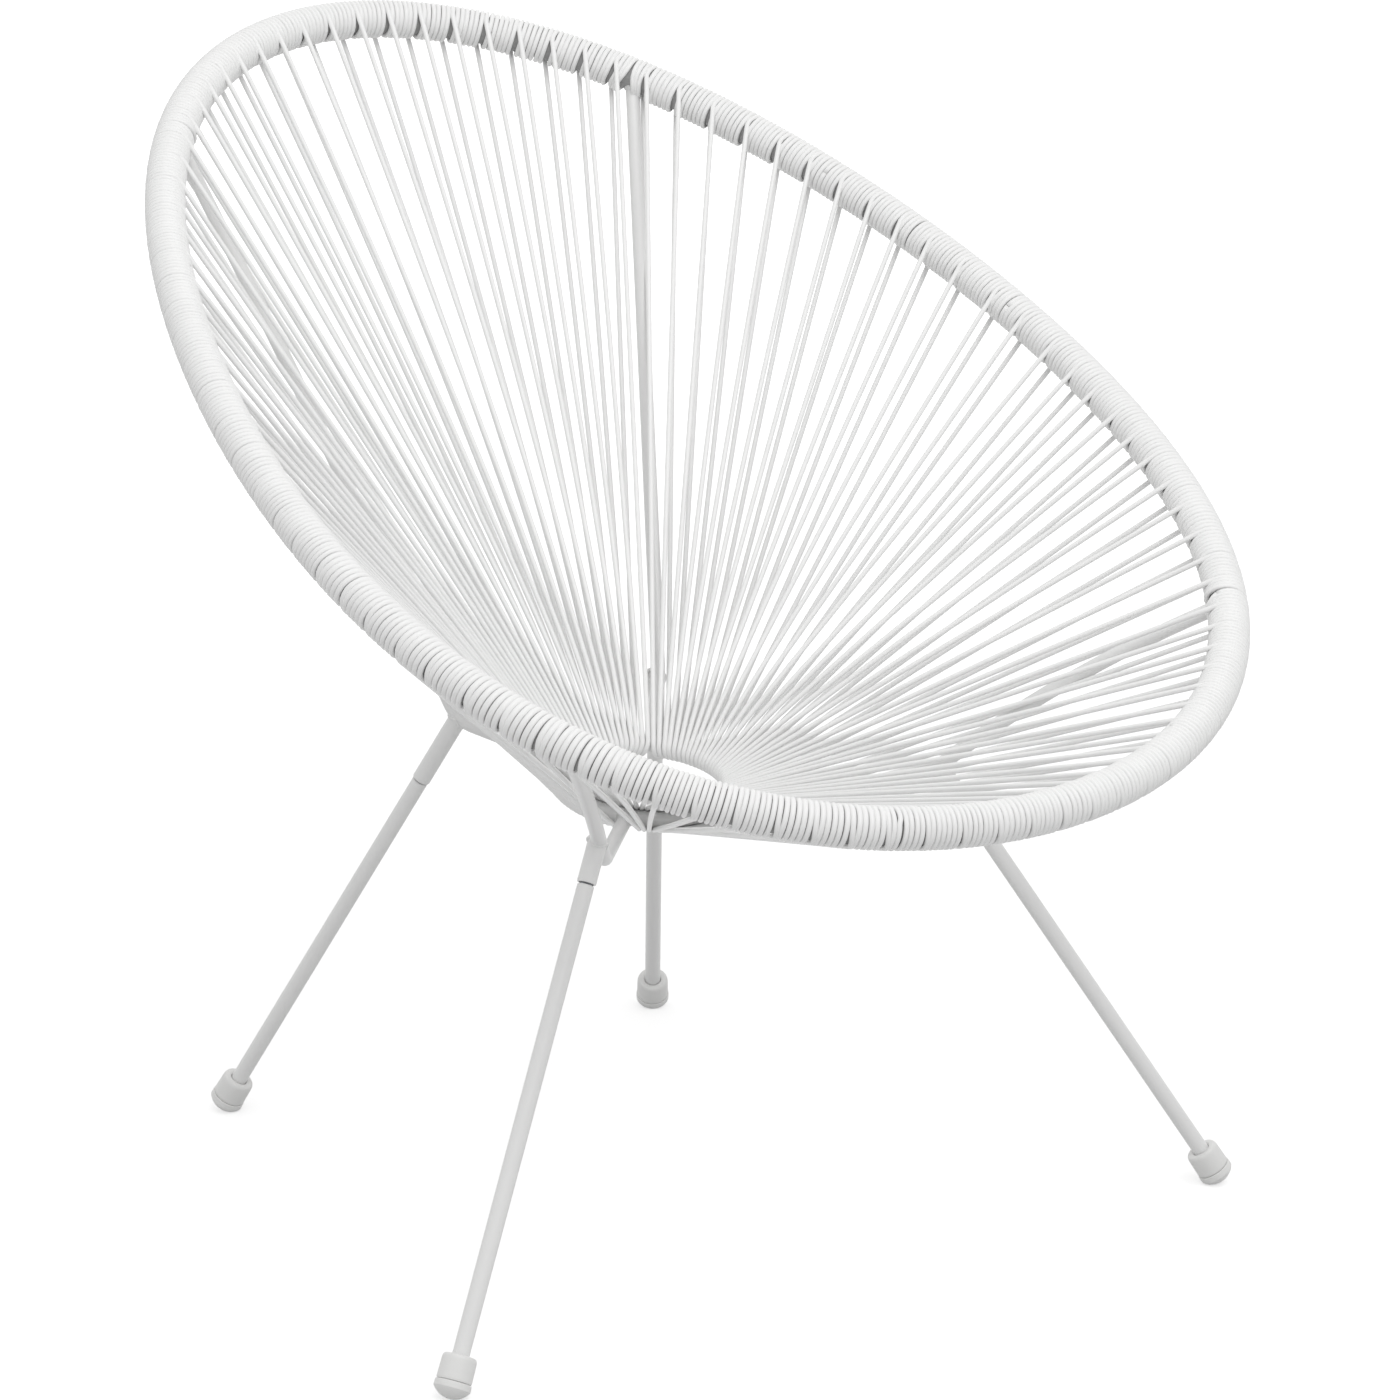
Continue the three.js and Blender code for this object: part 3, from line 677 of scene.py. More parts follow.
@dataclass(frozen=True)
class RibShape:
    """One frame rib's route, from the rim down to a bend and in to the seat ring, and its leg."""

    rim_angle: float
    elbow_turn: float
    elbow_reach: float
    elbow_height: float
    ring_turn: float
    bow: float
    foot_x: float
    foot_y: float
    leg_outset: float
    leg_aside: float
    socket_drop: float
    socket_rise: float
    radius: float = 5.65
    bend_radius: float = 30.0
    bend_clearance: float = 4.0
    upper_end_share: float = 0.2
    lower_start_share: float = 0.05
    upper_steps: int = 40
    bend_steps: int = 17
    lower_steps: int = 24
    aim_point: int = 4

    def bearing(self) -> float:
        """Bearing of the rim's end, seen from the seat ring's middle."""
        top = RIM.place(self.rim_angle)
        return math.atan2(top[0], top[1] - RING.set_back)

    def ring_bearing(self) -> float:
        """Bearing of the ring's end."""
        return self.bearing() + self.ring_turn

    def beside_elbow(self, outset: float, aside: float) -> np.ndarray:
        """A place at the elbow's height.

        Args:
            outset: Distance outwards from the elbow.
            aside: Distance square to that.

        Returns:
            The place.
        """
        turn = self.bearing() + self.elbow_turn
        reach = self.elbow_reach + outset
        x = reach * math.sin(turn) + aside * math.cos(turn)
        y = RING.set_back + reach * math.cos(turn) - aside * math.sin(turn)
        return np.array([x, y, self.elbow_height])

    def route(self, mirror: np.ndarray) -> np.ndarray:
        """Points of the centre line.

        Formula: the upper run is the straight line from the rim to the elbow plus a bow of
        4 t (1 - t) times its height; a circular bend leads into the straight lower run.

        Args:
            mirror: Factors for x, y and z that lay the rib on its side.

        Returns:
            The points, from the rim on.
        """
        top, corner = RIM.place(self.rim_angle), self.beside_elbow(0.0, 0.0)
        end = RING.at(self.ring_bearing())[0]
        chord = top - corner
        lift = UPRIGHT - chord * (UPRIGHT @ chord) / (chord @ chord)
        t = np.linspace(1.0, self.upper_end_share, self.upper_steps)[:, None]
        upper = corner + chord * t + unit(lift) * 4 * t * (1 - t) * self.bow
        up, inwards = unit(upper[-1] - corner), unit(end - corner)
        half = math.acos(float(up @ inwards)) / 2
        tangent = self.bend_radius / math.tan(half)
        centre = corner + unit(up + inwards) * self.bend_radius / math.sin(half)
        start = corner + up * tangent - centre
        axis = unit(np.cross(inwards, up))
        turn = (math.pi - 2 * half) * np.linspace(0.0, 1.0, self.bend_steps)[:, None]
        bend = centre + start * np.cos(turn) + np.cross(axis, start) * np.sin(turn)
        share = np.linspace(self.lower_start_share, 1.0, self.lower_steps)[:, None]
        lower = bend[-1] + (end - bend[-1]) * share
        keep = np.linalg.norm(upper - corner, axis=1) > tangent + self.bend_clearance
        return np.concatenate([upper[keep], bend, lower]) * mirror

    def leg_line(self, mirror: np.ndarray) -> LegLine:
        """The axis of the leg under the rib's elbow.

        Args:
            mirror: Factors for x, y and z that lay the leg on its side.

        Returns:
            The leg's axis.
        """
        ground = np.array([self.foot_x, self.foot_y, 0.0])
        beside = self.beside_elbow(self.leg_outset, self.leg_aside)
        return LegLine(ground * mirror, unit((beside - ground) * mirror))


REAR_RIB = RibShape(
    rim_angle=math.radians(40.7),
    elbow_turn=math.radians(4.9),
    elbow_reach=153.5,
    elbow_height=353.7,
    ring_turn=math.radians(3.5),
    bow=2.5,
    foot_x=208.9,
    foot_y=320.0,
    leg_outset=1.0,
    leg_aside=-2.3,
    socket_drop=52.7,
    socket_rise=3.3,
)

FRONT_RIB = RibShape(
    rim_angle=math.radians(132.7),
    elbow_turn=math.radians(-1.5),
    elbow_reach=197.8,
    elbow_height=324.5,
    ring_turn=math.radians(-5.7),
    bow=10.0,
    foot_x=354.2,
    foot_y=-254.0,
    leg_outset=41.1,
    leg_aside=-5.1,
    socket_drop=3.0,
    socket_rise=26.0,
)


class Quarter(Enum):
    """The four corners of the frame."""

    BACK_LEFT = ("back_left", 1.0, REAR_RIB)
    BACK_RIGHT = ("back_right", -1.0, REAR_RIB)
    FRONT_LEFT = ("front_left", 1.0, FRONT_RIB)
    FRONT_RIGHT = ("front_right", -1.0, FRONT_RIB)

    def __init__(self, suffix: str, side: float, rib: RibShape) -> None:
        """Works out a corner's values.

        Args:
            suffix: Ending of the names of its nodes.
            side: 1 on the sitter's left, -1 on the right.
            rib: The shape of its rib.
        """
        self.suffix = suffix
        self.mirror = np.array([side, 1.0, 1.0])
        self.rib = rib


class Layer(Enum):
    """The two layers of strands: over the rim and the ring, or under both."""

    OVER = 1.0
    UNDER = -1.0


@dataclass(frozen=True)
class LacingPlan:
    """Where the cord's strands leave the rim and cross the seat ring, and how its turns lie.

    Sizes are in millimetres and angles in radians. The rows of places are lengths along the rim
    from the top of the back, for the left half; the right half mirrors them. A slip is a place
    on the whole rim where two turns have parted, with its opening. A wave in the winding has a
    size, the length that carries it on by a radian, a phase, and how much of the angle round the
    tube is added.
    """

    cord_diameter: float = 3.98
    turn_pitch: float = 4.1
    loose_pitch: float = 4.6
    loose_stretch: tuple[float, float] = (1690.0, 1965.0)
    turn_gap: float = 0.16
    back_lead: float = 3.0
    lead_reach: float = 0.9
    bend_reach: float = 0.22
    settling_angle: float = 1.3
    short_turn: float = 1.6 * math.pi
    slips: tuple[tuple[float, float], ...] = (
        (531.0, 0.4), (639.0, 0.4), (1011.5, 0.5), (1473.0, 0.5), (1724.0, 0.3), (1762.0, 0.35),
        (1806.0, 0.3),
    )
    slip_fade: float = 9.0
    waves: tuple[tuple[float, float, float, float], ...] = (
        (0.17, 2.3, 0.0, 0.3), (0.22, 7.1, 1.0, 0.0), (0.1, 1.31, 1.7, 0.0),
    )
    lift_height: float = 0.07
    lift_length: float = 3.1
    rib_pass: float = 2.0
    rib_play: float = 0.3
    rib_angle: float = 0.85
    ride_height: float = 1.5
    ride_reach: float = 5.0
    under_turn: float = 0.012
    place_spread: float = 0.25
    bearing_spread: float = 0.0022
    strand_spread: float = 0.5
    back_pitch: float = 28.0
    side_places: tuple[float, ...] = (
        265.5, 295, 327, 360, 392, 423, 455, 487, 518, 550, 585, 625,
        659, 697, 728, 756, 787, 816, 844, 876, 905, 940, 970, 998,
    )
    front_places: tuple[float, ...] = (
        1030.5, 1055, 1083, 1110, 1137, 1165, 1190, 1215, 1241, 1268.5, 1295.5, 1322.5, 1349.3,
    )
    back_count: int = 18
    side_count: int = 24
    front_count: int = 26

    @property
    def count(self) -> int:
        """Number of stations round the rim."""
        return self.back_count + 2 * self.side_count + self.front_count

    def places(self, total: float) -> np.ndarray:
        """Length along the rim of each front strand.

        Args:
            total: Length of the whole rim.

        Returns:
            One length for each station. Station 0 is the first past the top of the back on the
            left side, so the stations of the back's right half come last.
        """
        back = self.back_pitch * (np.arange(self.back_count // 2) + 0.5)
        left = np.concatenate([back, self.side_places, self.front_places])
        return np.concatenate([left, total - left[::-1]])

    def bearings(self, clearance: float) -> np.ndarray:
        """Bearing on the seat ring of each strand, evenly spread between the ribs.

        Args:
            clearance: Room in millimetres left on each side of a rib's middle.

        Returns:
            One bearing for each station.
        """
        rear, front = REAR_RIB.ring_bearing(), FRONT_RIB.ring_bearing()
        clear = clearance / RING.radius
        back = middles(-rear + clear, rear - clear, self.back_count)[self.back_count // 2 :]
        left = middles(rear + clear, front - clear, self.side_count)
        low = middles(front + clear, FULL_TURN - front - clear, self.front_count)
        half = np.concatenate([back, left, low[: self.front_count // 2]])
        return np.concatenate([half, FULL_TURN - half[::-1]])


@dataclass(frozen=True)
class StrandEnds:
    """Where one layer's strands touch the rim and the ring, with one row for each station."""

    start: np.ndarray
    end: np.ndarray
    rim_out: np.ndarray
    ring_out: np.ndarray
    slant: np.ndarray
    turn: np.ndarray
    ring_turn: np.ndarray
    bearing: np.ndarray


@dataclass
class Lacing:
    """The one long cord: turns round the rim, a strand down, a loop round the ring, a strand up.

    Args:
        plan: Where the strands and turns lie.
        turn_steps: Points in each turn round the rim.
        strand_steps: Points in each strand.
        loop_steps: Points in each loop round the ring.
        sides: Points round the cord.
        tangent_rounds: Rounds in which the touching points are found.
        seed: Seed of the small unevenness of hand lacing.
    """

    plan: LacingPlan = field(default_factory=LacingPlan)
    turn_steps: int = 22
    strand_steps: int = 34
    loop_steps: int = 13
    sides: int = 10
    tangent_rounds: int = 6
    seed: int = 7

    def __post_init__(self) -> None:
        """Works out the strands' ends for all stations at once."""
        plan, rng = self.plan, np.random.default_rng(self.seed)
        self.total = RIM.total()
        self.front_s = plan.places(self.total) + rng.normal(0.0, plan.place_spread, plan.count)
        wobble = rng.normal(0.0, plan.bearing_spread, plan.count)
        over = plan.bearings(0.0) + wobble
        under = plan.bearings(REAR_RIB.radius + plan.rib_pass) + wobble - plan.under_turn
        pitch = np.diff(np.concatenate([[self.front_s[-1] - self.total], self.front_s]))
        loose_low, loose_high = plan.loose_stretch
        loose = (self.front_s > loose_low) & (self.front_s < loose_high)
        self.passes = np.round(pitch / np.where(loose, plan.loose_pitch, plan.turn_pitch))
        self.first_turn_s = self.front_s - 0.5 * pitch / self.passes
        self.sway = rng.normal(0.0, plan.strand_spread, (plan.count, 2, 2))
        self.rim_radius = RIM.tube_radius + plan.cord_diameter / 2
        self.ring_radius = RING.tube_radius + plan.cord_diameter / 2
        self.front = self.tangents(self.front_s, over, Layer.OVER)
        self.back = self.tangents(self.first_turn_s - plan.back_lead, under, Layer.UNDER)
        self.ribs = self.rib_ends()

    def tangents(self, length: np.ndarray, bearing: np.ndarray, layer: Layer) -> StrandEnds:
        """Where straight strands touch the rim and the ring.

        Formula: a strand touches a round tube where the tube's section is square to it, so the
        touching direction is square to the tube and the strand, on the layer's side. The
        strand's own direction follows from both, and is found in a few rounds.

        Args:
            length: Lengths along the rim.
            bearing: Bearings on the ring.
            layer: Whether the strands pass over both tubes or under them.

        Returns:
            The strands' ends.
        """
        place, along, inward = RIM.at(length)
        spot, ring_along, outward = RING.at(bearing)
        rim_out = np.broadcast_to(RIM.normal * layer.value, place.shape)
        ring_out = np.broadcast_to(RING.axis * layer.value, spot.shape)
        for _ in range(self.tangent_rounds):
            start = place + self.rim_radius * rim_out
            end = spot + self.ring_radius * ring_out
            line = unit(end - start)
            across = square_to(line, along)
            rim_out = unit(np.cross(along, across))
            rim_out = rim_out * np.sign(dot(rim_out, RIM.normal)) * layer.value
            ring_out = unit(np.cross(ring_along, square_to(line, ring_along)))
            ring_out = ring_out * np.sign(dot(ring_out, RING.axis)) * layer.value
        slant = dot(line, along)[:, 0] / np.linalg.norm(across, axis=-1)
        turn = np.arctan2(dot(rim_out, inward), dot(rim_out, RIM.normal))[:, 0]
        ring_turn = np.arctan2(-dot(ring_out, outward), dot(ring_out, RING.axis))[:, 0]
        return StrandEnds(start, end, rim_out, ring_out, slant, turn, ring_turn, bearing)

    def strand(self, ends: StrandEnds, k: int, sway: np.ndarray) -> Stretch:
        """One taut strand from rim to ring.

        Formula: the straight line between its touching points, plus a bow of sin(pi t) times the
        sway.

        Args:
            ends: The ends of its layer's strands.
            k: Its station.
            sway: How far its middle lies sideways and up.

        Returns:
            The stretch, from the rim on.
        """
        t = np.linspace(0.0, 1.0, self.strand_steps + 2)[1:-1, None]
        start, chord, out = ends.start[k], ends.end[k] - ends.start[k], ends.rim_out[k]
        bow = np.sin(math.pi * t) * (sway[0] * unit(np.cross(chord, out)) + sway[1] * out)
        return start + chord * t + bow, out * (1 - t) + ends.ring_out[k] * t, np.ones(len(t))

    def loop(self, k: int) -> Stretch:
        """The half turn round the seat ring, over it, down its hole side and back under it.

        Formula: a point at angle u round the ring's tube lies at its radius times (cos u of the
        ring's axis minus sin u of the outward direction), while the bearing eases from the
        front strand's to the back strand's.

        Args:
            k: The station.

        Returns:
            The stretch, from the front strand on.
        """
        t = np.linspace(0.0, 1.0, self.loop_steps)
        first, last = self.front.ring_turn[k], self.back.ring_turn[k] % FULL_TURN
        turn = (first + (last - first) * t)[:, None]
        ease = smooth(t)
        place, _, outward = RING.at(
            self.front.bearing[k] * (1 - ease) + self.back.bearing[k] * ease
        )
        out = np.cos(turn) * RING.axis - np.sin(turn) * outward
        return place + self.ring_radius * out, out, np.ones(len(t))

    def rib_ends(self) -> np.ndarray:
        """Where the ribs meet the rim, each turned towards the aim point of its route.

        Returns:
            For each rib, the length along the rim and the angle round the tube.
        """
        rows = []
        for rib in (REAR_RIB, FRONT_RIB):
            length = RIM.length_to(rib.rim_angle)
            place, _, inward = RIM.at(length)
            line = rib.route(np.ones(3))[rib.aim_point] - place
            turn = math.atan2(float(line @ inward), float(line @ RIM.normal))
            rows += [[length, turn], [self.total - length, turn]]
        return np.array(rows)

    def settle(
        self, length: np.ndarray, turn: np.ndarray, ease: np.ndarray
    ) -> tuple[np.ndarray, np.ndarray]:
        """Hand winding's unevenness, and the way that turns part round a rib.

        Formula: the length sways by the sum of the plan's waves. At a slip the turns on its two
        sides lie apart by its opening times exp(-d / fade). A distance d from a rib along the
        rim becomes the root of d squared plus the rib's room squared times w, where w is 1 at
        the rib's angle and falls off with the fourth power of the angle from it; the nearest
        turns ride up on their neighbours.

        Args:
            length: Lengths along the rim.
            turn: Angles round the tube.
            ease: 0 at the ends of the winding, where the strands start, and 1 elsewhere.

        Returns:
            The new lengths, and how far each point lifts off the tube.
        """
        plan = self.plan
        lift = plan.lift_height * np.sin(length / plan.lift_length + turn) * ease
        moved = length + ease * sum(
            size * np.sin(length / run + phase + share * turn)
            for size, run, phase, share in plan.waves
        )
        for slip, opening in plan.slips:
            away = length - slip
            moved = moved + ease * np.sign(away) * opening * np.exp(-np.abs(away) / plan.slip_fade)
        room = REAR_RIB.radius + plan.cord_diameter / 2 + plan.rib_play
        for rib_length, rib_turn in self.ribs:
            away = length - rib_length
            away = away - self.total * np.round(away / self.total)
            angle = np.mod(turn - rib_turn + math.pi, FULL_TURN) - math.pi
            near = ease / (1 + (angle / plan.rib_angle) ** 4)
            pushed = np.sqrt(away**2 + room**2 * near) - np.abs(away)
            moved = moved + np.where(away < 0, -1.0, 1.0) * pushed
            lift = lift + plan.ride_height * near * np.exp(-((away / plan.ride_reach) ** 2))
        return moved, lift

    def turns(self, k: int) -> tuple[Stretch, np.ndarray]:
        """The turns round the rim from station k's back strand to the front strand before it.

        Formula: the angle grows evenly while the length along the rim falls by one pitch a turn;
        at both ends slant r u exp(-u / bend reach) is added, u being the angle from that end, so
        that the cord bends out of its turn into the slanting strand. The back strand's end lies
        lower by its lead times exp(-(u / lead reach) squared). The cord is pressed to the width
        of one turn less the gap.

        Args:
            k: The station.

        Returns:
            The stretch, and its lengths along the rim before they settle.
        """
        plan, before = self.plan, k - 1
        start, end = self.back.turn[k], self.front.turn[before]
        span = (end - start) % FULL_TURN
        whole = self.passes[k] - (2 if span > plan.short_turn else 1)
        span += FULL_TURN * whole
        t = np.linspace(0.0, 1.0, int(span / FULL_TURN * self.turn_steps))
        turn = start + span * t
        low = self.front_s[before] - (self.total if before < 0 else 0.0)
        high = self.first_turn_s[k]
        from_start, from_end = span * t, span * (1 - t)
        length = high + (low - high) * t
        length = length - plan.back_lead * np.exp(-((from_start / plan.lead_reach) ** 2))
        for slant, away in ((self.back.slant[k], from_start), (self.front.slant[before], from_end)):
            length = length - slant * self.rim_radius * away * np.exp(-away / plan.bend_reach)
        ease = smooth(np.clip(np.minimum(from_start, from_end) / plan.settling_angle, 0.0, 1.0))
        settled, lift = self.settle(length, turn, ease)
        place, _, inward = RIM.at(settled)
        out = np.cos(turn)[:, None] * RIM.normal + np.sin(turn)[:, None] * inward
        width = (high - low) / (span / FULL_TURN) - plan.turn_gap
        widen = 1 + (width / plan.cord_diameter - 1) * ease
        return (place + (self.rim_radius + lift)[:, None] * out, out, widen), length

    def border(self, station: int) -> float:
        """Where two panels meet, halfway between a station and the one before it.

        Args:
            station: The station, counted on past either end of the loop.

        Returns:
            Length along the rim.
        """
        count = self.plan.count
        here, before = (
            self.front_s[k % count] + self.total * (k // count) for k in (station, station - 1)
        )
        return (here + before) / 2

    def panel_cord(self, first: int, last: int) -> Surface:
        """The stretch of cord of one panel, as one unbroken rod.

        Args:
            first: The panel's first station.
            last: The station after its last one.

        Returns:
            The cord from the last turn before the panel's high border to the one before its low.
        """
        count = self.plan.count
        winding, length = self.turns(last % count)
        keep = np.cumsum(length + self.total * (last // count) <= self.border(last)) > 0
        stretches = [tuple(row[keep] for row in winding)]
        for station in range(last - 1, first - 1, -1):
            k = station % count
            down = self.strand(self.front, k, self.sway[k, 0])
            up = self.strand(self.back, k, self.sway[k, 1])
            winding, length = self.turns(k)
            if station == first:
                beyond = length + self.total * (station // count) >= self.border(first)
                kept = int(np.sum(np.cumprod(beyond))) + 1
                winding = tuple(row[:kept] for row in winding)
            stretches += [down, self.loop(k), tuple(row[::-1] for row in up), winding]
        points, normals, widths = (np.concatenate(rows) for rows in zip(*stretches))
        return sweep(points, normals, self.plan.cord_diameter / 2, self.sides, widths)


@dataclass(frozen=True)
class Seat:
    """The lacing, cut into the CAD's panels."""

    back_panels: int = 3
    side_panels: int = 4
    front_panels: int = 4

    def panels(self, plan: LacingPlan) -> list[tuple[str, int, int]]:
        """The panels in the CAD's order.

        Args:
            plan: Where the strands lie.

        Returns:
            Name, first station and end station of each. Stations count from the top of the
            back, so a station of the back's right half is negative.
        """
        start = -(plan.back_count // 2)
        rows: list[tuple[str, int, int]] = []
        for label, count, stations in (
            ("back", self.back_panels, plan.back_count),
            ("left", self.side_panels, plan.side_count),
            ("front", self.front_panels, plan.front_count),
            ("right", self.side_panels, plan.side_count),
        ):
            edges = [start + math.floor(stations * k / count + 0.5) for k in range(count + 1)]
            rows += [(f"{label}_{k + 1}", edges[k], edges[k + 1]) for k in range(count)]
            start += stations
        return rows

    def build(self) -> None:
        """Makes one piece for each panel."""
        lacing = Lacing()
        for label, first, last in self.panels(lacing.plan):
            cord = lacing.panel_cord(first, last)
            build_piece(f"lacing_{label}", [cord], CORD, f"cord_lacing_{label}")


@dataclass(frozen=True)
class Frame:
    """The welded frame: rim tube, seat ring and four ribs with their sockets.

    Sizes are in millimetres. A height in the socket is measured up from its lower lip.
    """

    tube_sides: int = 20
    rim_rings: int = 360
    ring_rings: int = 120
    core_clearance: float = 0.1
    bead_sides: int = 8
    bead_ripples: int = 26
    ripple_share: float = 0.12
    seam_points: int = 52
    straight_point: int = 3
    rim_bead: float = 1.2
    ring_bead: float = 1.7
    socket_bead: float = 1.5
    bead_rise: float = 0.2
    socket_radius: float = 7.2
    socket_sides: int = 56
    socket_rings: int = 12
    socket_bore: float = 5.5
    bore_depth: float = 3.0
    lip_height: float = 2.0
    bore_rounding: float = 0.5
    lip_rounding: float = 0.9
    crown_rise: float = 1.0
    crown_shares: tuple[float, float] = (0.35, 0.97)
    cope_steps: int = 12
    insert_play: float = 0.3
    insert_low: float = 1.0
    insert_high: float = 9.0
    insert_rounding: float = 0.4
    insert_sides: int = 32

    def build(self) -> None:
        """Makes the rim tube, the ring and the four ribs with their sockets."""
        self.rim_tube()
        self.seat_ring()
        for quarter in Quarter:
            self.rib(quarter)
            self.socket(quarter)

    def rim_tube(self) -> None:
        """The rim tube inside the winding, coloured dark grey as painted shade for the shadow in the
        gaps between the turns.
        """
        length = np.linspace(0.0, RIM.total(), self.rim_rings + 1)[:-1]
        place, _, inward = RIM.at(length)
        radius = RIM.tube_radius - self.core_clearance
        tube = closed_tube(place, RIM.normal, inward, radius, self.tube_sides)
        build_piece("rim_core", [tube], TUBE_PAINTED_SHADE, "rim_tube")

    def seat_ring(self) -> None:
        """The small ring that the strands loop round."""
        place, _, outward = RING.at(FULL_TURN * np.arange(self.ring_rings) / self.ring_rings)
        tube = closed_tube(place, RING.axis, outward, RING.tube_radius, self.tube_sides)
        build_piece("ring_tube", [tube], POWDER_COAT, "seat_ring")

    def weld_bead(self, path: np.ndarray, radius: float) -> Surface:
        """A closed bead of weld along a loop, with the ripples of a hand weld.

        Formula: the bead's radius is its middle size times 1 + the ripple share times cos of the
        ripples' number times the angle round the loop.

        Args:
            path: Points of the loop.
            radius: The bead's middle size.

        Returns:
            The bead.
        """
        along = unit(np.roll(path, -1, 0) - np.roll(path, 1, 0))
        out = unit(square_to(path - path.mean(0), along))
        turn = FULL_TURN * np.arange(len(path)) / len(path)
        ripple = 1 + self.ripple_share * np.cos(self.bead_ripples * turn)
        return closed_tube(path, out, np.cross(along, out), radius * ripple, self.bead_sides)

    def seam(
        self, path: np.ndarray, tube_place: np.ndarray, axis: np.ndarray, radius: float
    ) -> np.ndarray:
        """Where a rib's skin meets a round tube: the loop that a weld follows.

        Formula: each line of the rib's skin, straight at that end, is followed to the point
        where its distance from the tube's axis is the tube's radius.

        Args:
            path: The rib's centre line, from the end that meets the tube.
            tube_place: A point on the tube's axis.
            axis: The tube's direction.
            radius: The tube's radius.

        Returns:
            A closed loop of points.
        """
        line = unit(path[self.straight_point] - path[0])
        across = unit(np.cross(line, axis))
        skin = circle(self.seam_points, across, np.cross(line, across))
        start = path[0] + REAR_RIB.radius * skin
        flat_line = square_to(line, axis)
        flat = square_to(start - tube_place, axis)
        a = flat_line @ flat_line
        b = 2 * flat @ flat_line
        c = np.sum(flat * flat, -1) - radius**2
        reach = (-b + np.sqrt(np.maximum(b * b - 4 * a * c, 0.0))) / (2 * a)
        return start + reach[:, None] * line

    def rib(self, quarter: Quarter) -> None:
        """One rib, with a bead of weld where it meets the rim and the ring.

        Args:
            quarter: Its corner.
        """
        rib, mirror = quarter.rib, quarter.mirror
        path = rib.route(mirror)
        normals = np.broadcast_to(UPRIGHT, path.shape)
        rod = sweep(path, normals, rib.radius, self.tube_sides)
        pieces = [Surface(rod.points)]
        rim_place, rim_along, _ = RIM.at(RIM.length_to(rib.rim_angle))
        ring_place, ring_along, _ = RING.at(rib.ring_bearing())
        for line, place, along, radius, bead in (
            (path, rim_place, rim_along, RIM.tube_radius, self.rim_bead),
            (path[::-1], ring_place, ring_along, RING.tube_radius, self.ring_bead),
        ):
            seam = self.seam(line, place * mirror, along * mirror, radius)
            pieces.append(self.weld_bead(seam, bead))
        build_piece(f"rib_{quarter.suffix}", pieces, POWDER_COAT, f"frame_rib_{quarter.suffix}")

    def cope(self, base: np.ndarray, up: np.ndarray, path: np.ndarray) -> np.ndarray:
        """Where the sleeve's skin meets the rib's skin, looking up along the leg.

        Formula: on each line of the sleeve's skin the lowest point is taken whose distance from
        the rib's centre line is the rib's radius; a line that passes the rib is given the height
        of the rib's own middle.

        Args:
            base: Where the lines of the sleeve's skin start.
            up: The leg's direction.
            path: The rib's centre line.

        Returns:
            The height along the leg on each line.
        """
        share = np.linspace(0.0, 1.0, self.cope_steps)[:, None, None]
        dense = path[:-1] + (path[1:] - path[:-1]) * share
        offset = dense.transpose(1, 0, 2).reshape(-1, 3) - base[:, None, :]
        height = offset @ up
        aside = np.linalg.norm(offset - height[..., None] * up, axis=-1)
        reach = np.sqrt(np.maximum(REAR_RIB.radius**2 - aside**2, 0.0))
        low = np.where(aside < REAR_RIB.radius, height - reach, np.inf).min(1)
        middle = np.take_along_axis(height, aside.argmin(1)[:, None], 1)[:, 0]
        return np.where(np.isfinite(low), low, middle)

    def socket(self, quarter: Quarter) -> None:
        """The sleeve that a leg screws into, its top coped to the rib's underside and welded.

        Formula: the coped end's height on each line is smoothed with its two neighbours by the
        weights 1, 2 and 1. The sleeve's rings rise from its lower lip to that end in equal shares
        of each line's own height, and the weld follows the end.

        Args:
            quarter: Its corner.
        """
        rib, suffix = quarter.rib, quarter.suffix
        leg = rib.leg_line(quarter.mirror)
        low = (rib.elbow_height - rib.socket_drop) / leg.up[2]
        outer, bore = self.socket_radius, self.socket_bore
        base = leg.ground + outer * leg.around(self.socket_sides)
        top = self.cope(base, leg.up, rib.route(quarter.mirror))
        top = np.minimum(top, (rib.elbow_height + rib.socket_rise) / leg.up[2])
        top = (np.roll(top, 1) + 2 * top + np.roll(top, -1)) / 4
        lip = rounded(
            [
                (0.0, low + self.bore_depth, 0.0),
                (bore, low + self.bore_depth, 0.0),
                (bore, low, self.bore_rounding),
                (outer, low, self.lip_rounding),
                (outer, low + self.lip_height, 0.0),
            ]
        )
        start = leg.turned(lip, self.socket_sides).points
        edge = base + top[:, None] * leg.up
        share = np.linspace(0.0, 1.0, self.socket_rings)[1:, None, None]
        wall = start[-1] + (edge - start[-1]) * share
        axis_top = leg.ground + (top.mean() + self.crown_rise) * leg.up
        crown = edge + (axis_top - edge) * np.array(self.crown_shares)[:, None, None]
        sleeve = Surface(np.concatenate([start, wall, crown]))
        bead = self.weld_bead(edge + self.bead_rise * leg.up, self.socket_bead)
        build_piece(
            f"socket_{suffix}", [sleeve, bead], POWDER_COAT, f"leg_socket_{suffix}", CUP_CREASE
        )
        radius = bore - self.insert_play
        bottom, ceiling = low + self.insert_low, low + self.insert_high
        inside = rounded(
            [
                (0.0, bottom, 0.0),
                (radius, bottom, self.insert_rounding),
                (radius, ceiling, self.insert_rounding),
                (0.0, ceiling, 0.0),
            ]
        )
        plug = leg.turned(inside, self.insert_sides)
        build_piece(f"insert_{suffix}", [plug], ZINC_PAINTED_SHADE, f"threaded_insert_{suffix}", BAR_CREASE)


